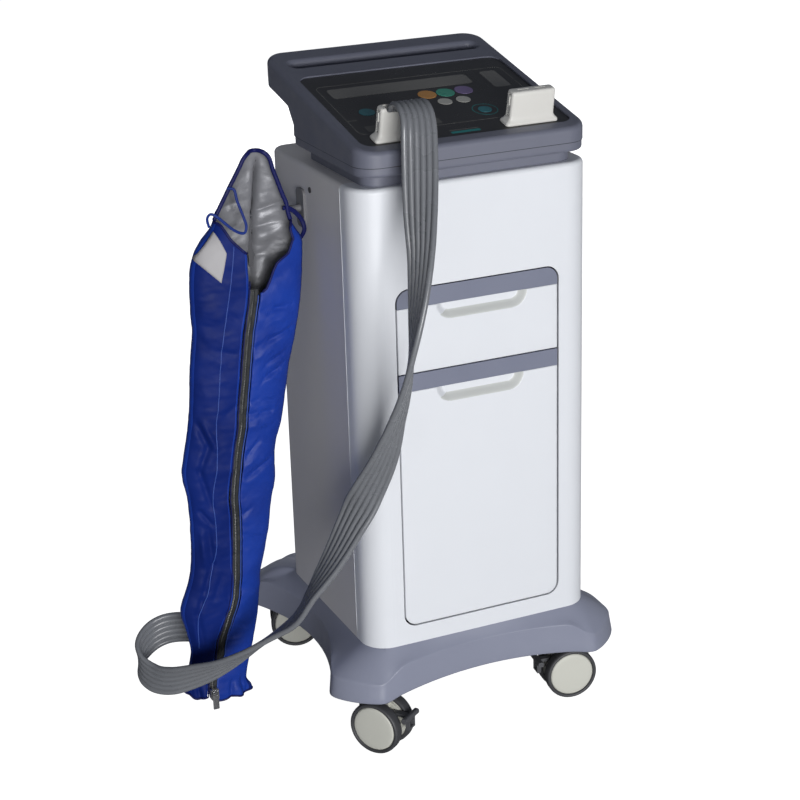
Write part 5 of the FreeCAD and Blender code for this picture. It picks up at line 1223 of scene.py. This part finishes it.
# piping on both zip edges
for side, off in (("left", -6.5), ("right", 6.5)):
    pts = [on_cloth(table(ZIP, z)[0] + off, z, 0.2) for z in [66 + (700 - 66) * k / 150 for k in range(151)] if z < (731 if side == "left" else 683)]
    tube("zip_edge_" + side, pts, 1.0, THREAD if side == "right" else BIND, seg=8)
# long seam down the left panel
seam_xz = [(749, -305), (684, -316), (648, -323), (602, -332), (517, -343), (503, -346), (436, -350), (387, -358.5), (338, -357), (302, -359), (258, -370), (237, -375), (203, -390), (179, -393)]
seam_xz = sorted(seam_xz)
pts = [on_cloth(table(seam_xz, z)[0], z, 0.12) for z in [150 + (752 - 150) * k / 170 for k in range(171)]]
tube("sleeve_seam", pts, 0.75, THREAD, seg=8)
# binding round the hood and along the flaps
edge_l = [sv[base_row + il]] + [sv[hood_index(r, 0)] for r in range(1, MH + 1)]
edge_t = [sv[hood_index(MH, k)] for k in range(0, hn, 6)]
edge_r = [sv[hood_index(r, hn - 1)] for r in range(MH, 0, -1)] + [sv[base_row + ir]]
loop_pts = edge_l + edge_t[1:-1] + edge_r
smooth_ = [Vector(p) for p in loop_pts]
for _ in range(10):
    smooth_ = [smooth_[0]] + [(smooth_[k - 1] + smooth_[k] * 2 + smooth_[k + 1]) / 4 for k in range(1, len(smooth_) - 1)] + [smooth_[-1]]
tube("hood_binding", smooth_, 3.1, BIND, seg=12, flat=0.8)
flap_l = [sv[base_row + i] for i in range(0, il + 1, 2)]
flap_r = [sv[base_row + i] for i in range(ir, NC, 2)]
tube("flap_binding_left", flap_l, 1.9, BIND, seg=10, flat=0.8)
tube("flap_binding_right", flap_r, 1.8, BIND, seg=10, flat=0.8)
hem_pts = [sv[i] for i in range(0, NC, 1)]
tube("hem_binding", hem_pts, 1.7, BIND, seg=10)
# blank cloth label in the left flap's corner
quad = [(-328, 774), (-360, 738), (-326, 703), (-315.5, 744)]
lab_v, lab_n = [], 14
for i in range(lab_n):
    for j in range(lab_n):
        u_, v_ = i / (lab_n - 1), j / (lab_n - 1)
        x = lerp(lerp(quad[0][0], quad[1][0], u_), lerp(quad[3][0], quad[2][0], u_), v_)
        z = lerp(lerp(quad[0][1], quad[1][1], u_), lerp(quad[3][1], quad[2][1], u_), v_)
        lab_v.append(on_cloth(x, z, 0.9))
label = make("sleeve_label", lab_v, grid_faces(lab_n, lab_n), [LABEL])
so = label.modifiers.new("label_thickness", "SOLIDIFY")
so.thickness = 0.6 * MM
so.offset = 0
apply_modifiers(label)
# left hanging loop of thin tape
lp_pts = [(-303, -1, 829), (-294, -5, 827), (-291, -7, 811), (-284, -8, 789), (-281, -10, 775), (-286, -12, 766), (-302, -15, 774), (-324, -17, 795),
          (-333, -15, 800), (-337, -11, 793), (-334, -8, 780)]
tube("loop_left", catmull(lp_pts, 8), 2.0, CORD_B, seg=10, flat=0.45)
# short straps round the hanger bar
lp2 = [(-222, 1, 790), (-215, 3, 788.8), (-206.6, 6, 784.1), (-198.3, 9, 776.5), (-190.5, 10, 764.9), (-188.8, 8, 753.5), (-195, 4, 745.2), (-204.4, -2, 742.3), (-212, -6, 742)]
tube("loop_right", catmull(lp2, 8), 3.3, BIND, seg=12, flat=0.5)
print("SLEEVE area m2", area_mm2 / 1e6)


# ------------------------------------------------------------------ floor, light, camera
me = bpy.data.meshes.new("floor")
me.from_pydata([(-30, -30, 0), (30, -30, 0), (30, 30, 0), (-30, 30, 0)], [], [(0, 1, 2, 3)])
floor = bpy.data.objects.new("floor", me)
scene.collection.objects.link(floor)
fm = bpy.data.materials.new("floor_white")
fm.use_nodes = True
fb = fm.node_tree.nodes["Principled BSDF"]
fb.inputs["Base Color"].default_value = (0.50, 0.50, 0.50, 1)
fb.inputs["Roughness"].default_value = 0.8
fb.inputs["Specular IOR Level"].default_value = 0.0
fb.inputs["Emission Color"].default_value = (1, 1, 1, 1)
fb.inputs["Emission Strength"].default_value = 0.97
fd = fm.node_tree.nodes.new("ShaderNodeBsdfDiffuse")
fd.inputs[0].default_value = (0.34, 0.34, 0.34, 1)
fl = fm.node_tree.nodes.new("ShaderNodeLightPath")
fx = fm.node_tree.nodes.new("ShaderNodeMixShader")
fm.node_tree.links.new(fl.outputs["Is Camera Ray"], fx.inputs[0])
fm.node_tree.links.new(fd.outputs[0], fx.inputs[1])
fm.node_tree.links.new(fb.outputs[0], fx.inputs[2])
fm.node_tree.links.new(fx.outputs[0], fm.node_tree.nodes["Material Output"].inputs[0])
me.materials.append(fm)

world = bpy.data.worlds.new("studio")
scene.world = world
world.use_nodes = True
wn = world.node_tree
bg = wn.nodes["Background"]
bg.inputs[0].default_value = (0.80, 0.86, 1.0, 1)
bg.inputs[1].default_value = 0.13
bg2 = wn.nodes.new("ShaderNodeBackground")
bg2.inputs[0].default_value = (1, 1, 1, 1)
bg2.inputs[1].default_value = 1.15
lp = wn.nodes.new("ShaderNodeLightPath")
mx = wn.nodes.new("ShaderNodeMixShader")
wn.links.new(lp.outputs["Is Camera Ray"], mx.inputs[0])
wn.links.new(bg.outputs[0], mx.inputs[1])
wn.links.new(bg2.outputs[0], mx.inputs[2])
wn.links.new(mx.outputs[0], wn.nodes["World Output"].inputs[0])


def area(name, loc, target, size, power, colour=(1, 1, 1)):
    l = bpy.data.lights.new(name, "AREA")
    l.shape = "RECTANGLE"
    l.size, l.size_y = size
    l.energy = power
    l.color = colour
    o = bpy.data.objects.new(name, l)
    scene.collection.objects.link(o)
    o.location = loc
    o.rotation_euler = (Vector(target) - Vector(loc)).to_track_quat("-Z", "Y").to_euler()
    return o


area("key", (-0.58, -4.68, 0.86), (0, 0, 0.50), (3.0, 1.6), 200)
area("fill", (-3.3, -3.3, 1.3), (0, 0, 0.5), (2.0, 2.0), 6)
rim = area("rim", (1.5, 3.6, 2.8), (0, 0, 0.6), (2.0, 1.6), 5)
rim.visible_glossy = False
rear = area("rear", (0.7, 4.7, 1.1), (0, 0, 0.5), (3.0, 1.9), 70)
rear.visible_glossy = False
side = area("side", (4.3, 1.5, 1.2), (0, 0, 0.5), (2.5, 1.9), 42)
side.visible_glossy = False

yaw, pitch, roll = math.radians(-23.73), math.radians(20.68), math.radians(-1.74)
back = Vector((math.sin(yaw) * math.cos(pitch), -math.cos(yaw) * math.cos(pitch), math.sin(pitch)))
right = Vector((math.cos(yaw), math.sin(yaw), 0))
upv = back.cross(right)
r2 = right * math.cos(roll) + upv * math.sin(roll)
u2 = -right * math.sin(roll) + upv * math.cos(roll)
cd = bpy.data.cameras.new("camera")
cd.sensor_fit = "HORIZONTAL"
cd.sensor_width = 36
cd.lens = 86.82
cd.clip_end = 100
cam = bpy.data.objects.new("camera", cd)
scene.collection.objects.link(cam)
mw = Matrix((r2, u2, back)).transposed().to_4x4()
mw.translation = Vector((-1.1291, -2.4469, 1.4833))
cam.matrix_world = mw
scene.camera = cam
scene.view_settings.view_transform = "Standard"

bpy.context.view_layer.update()
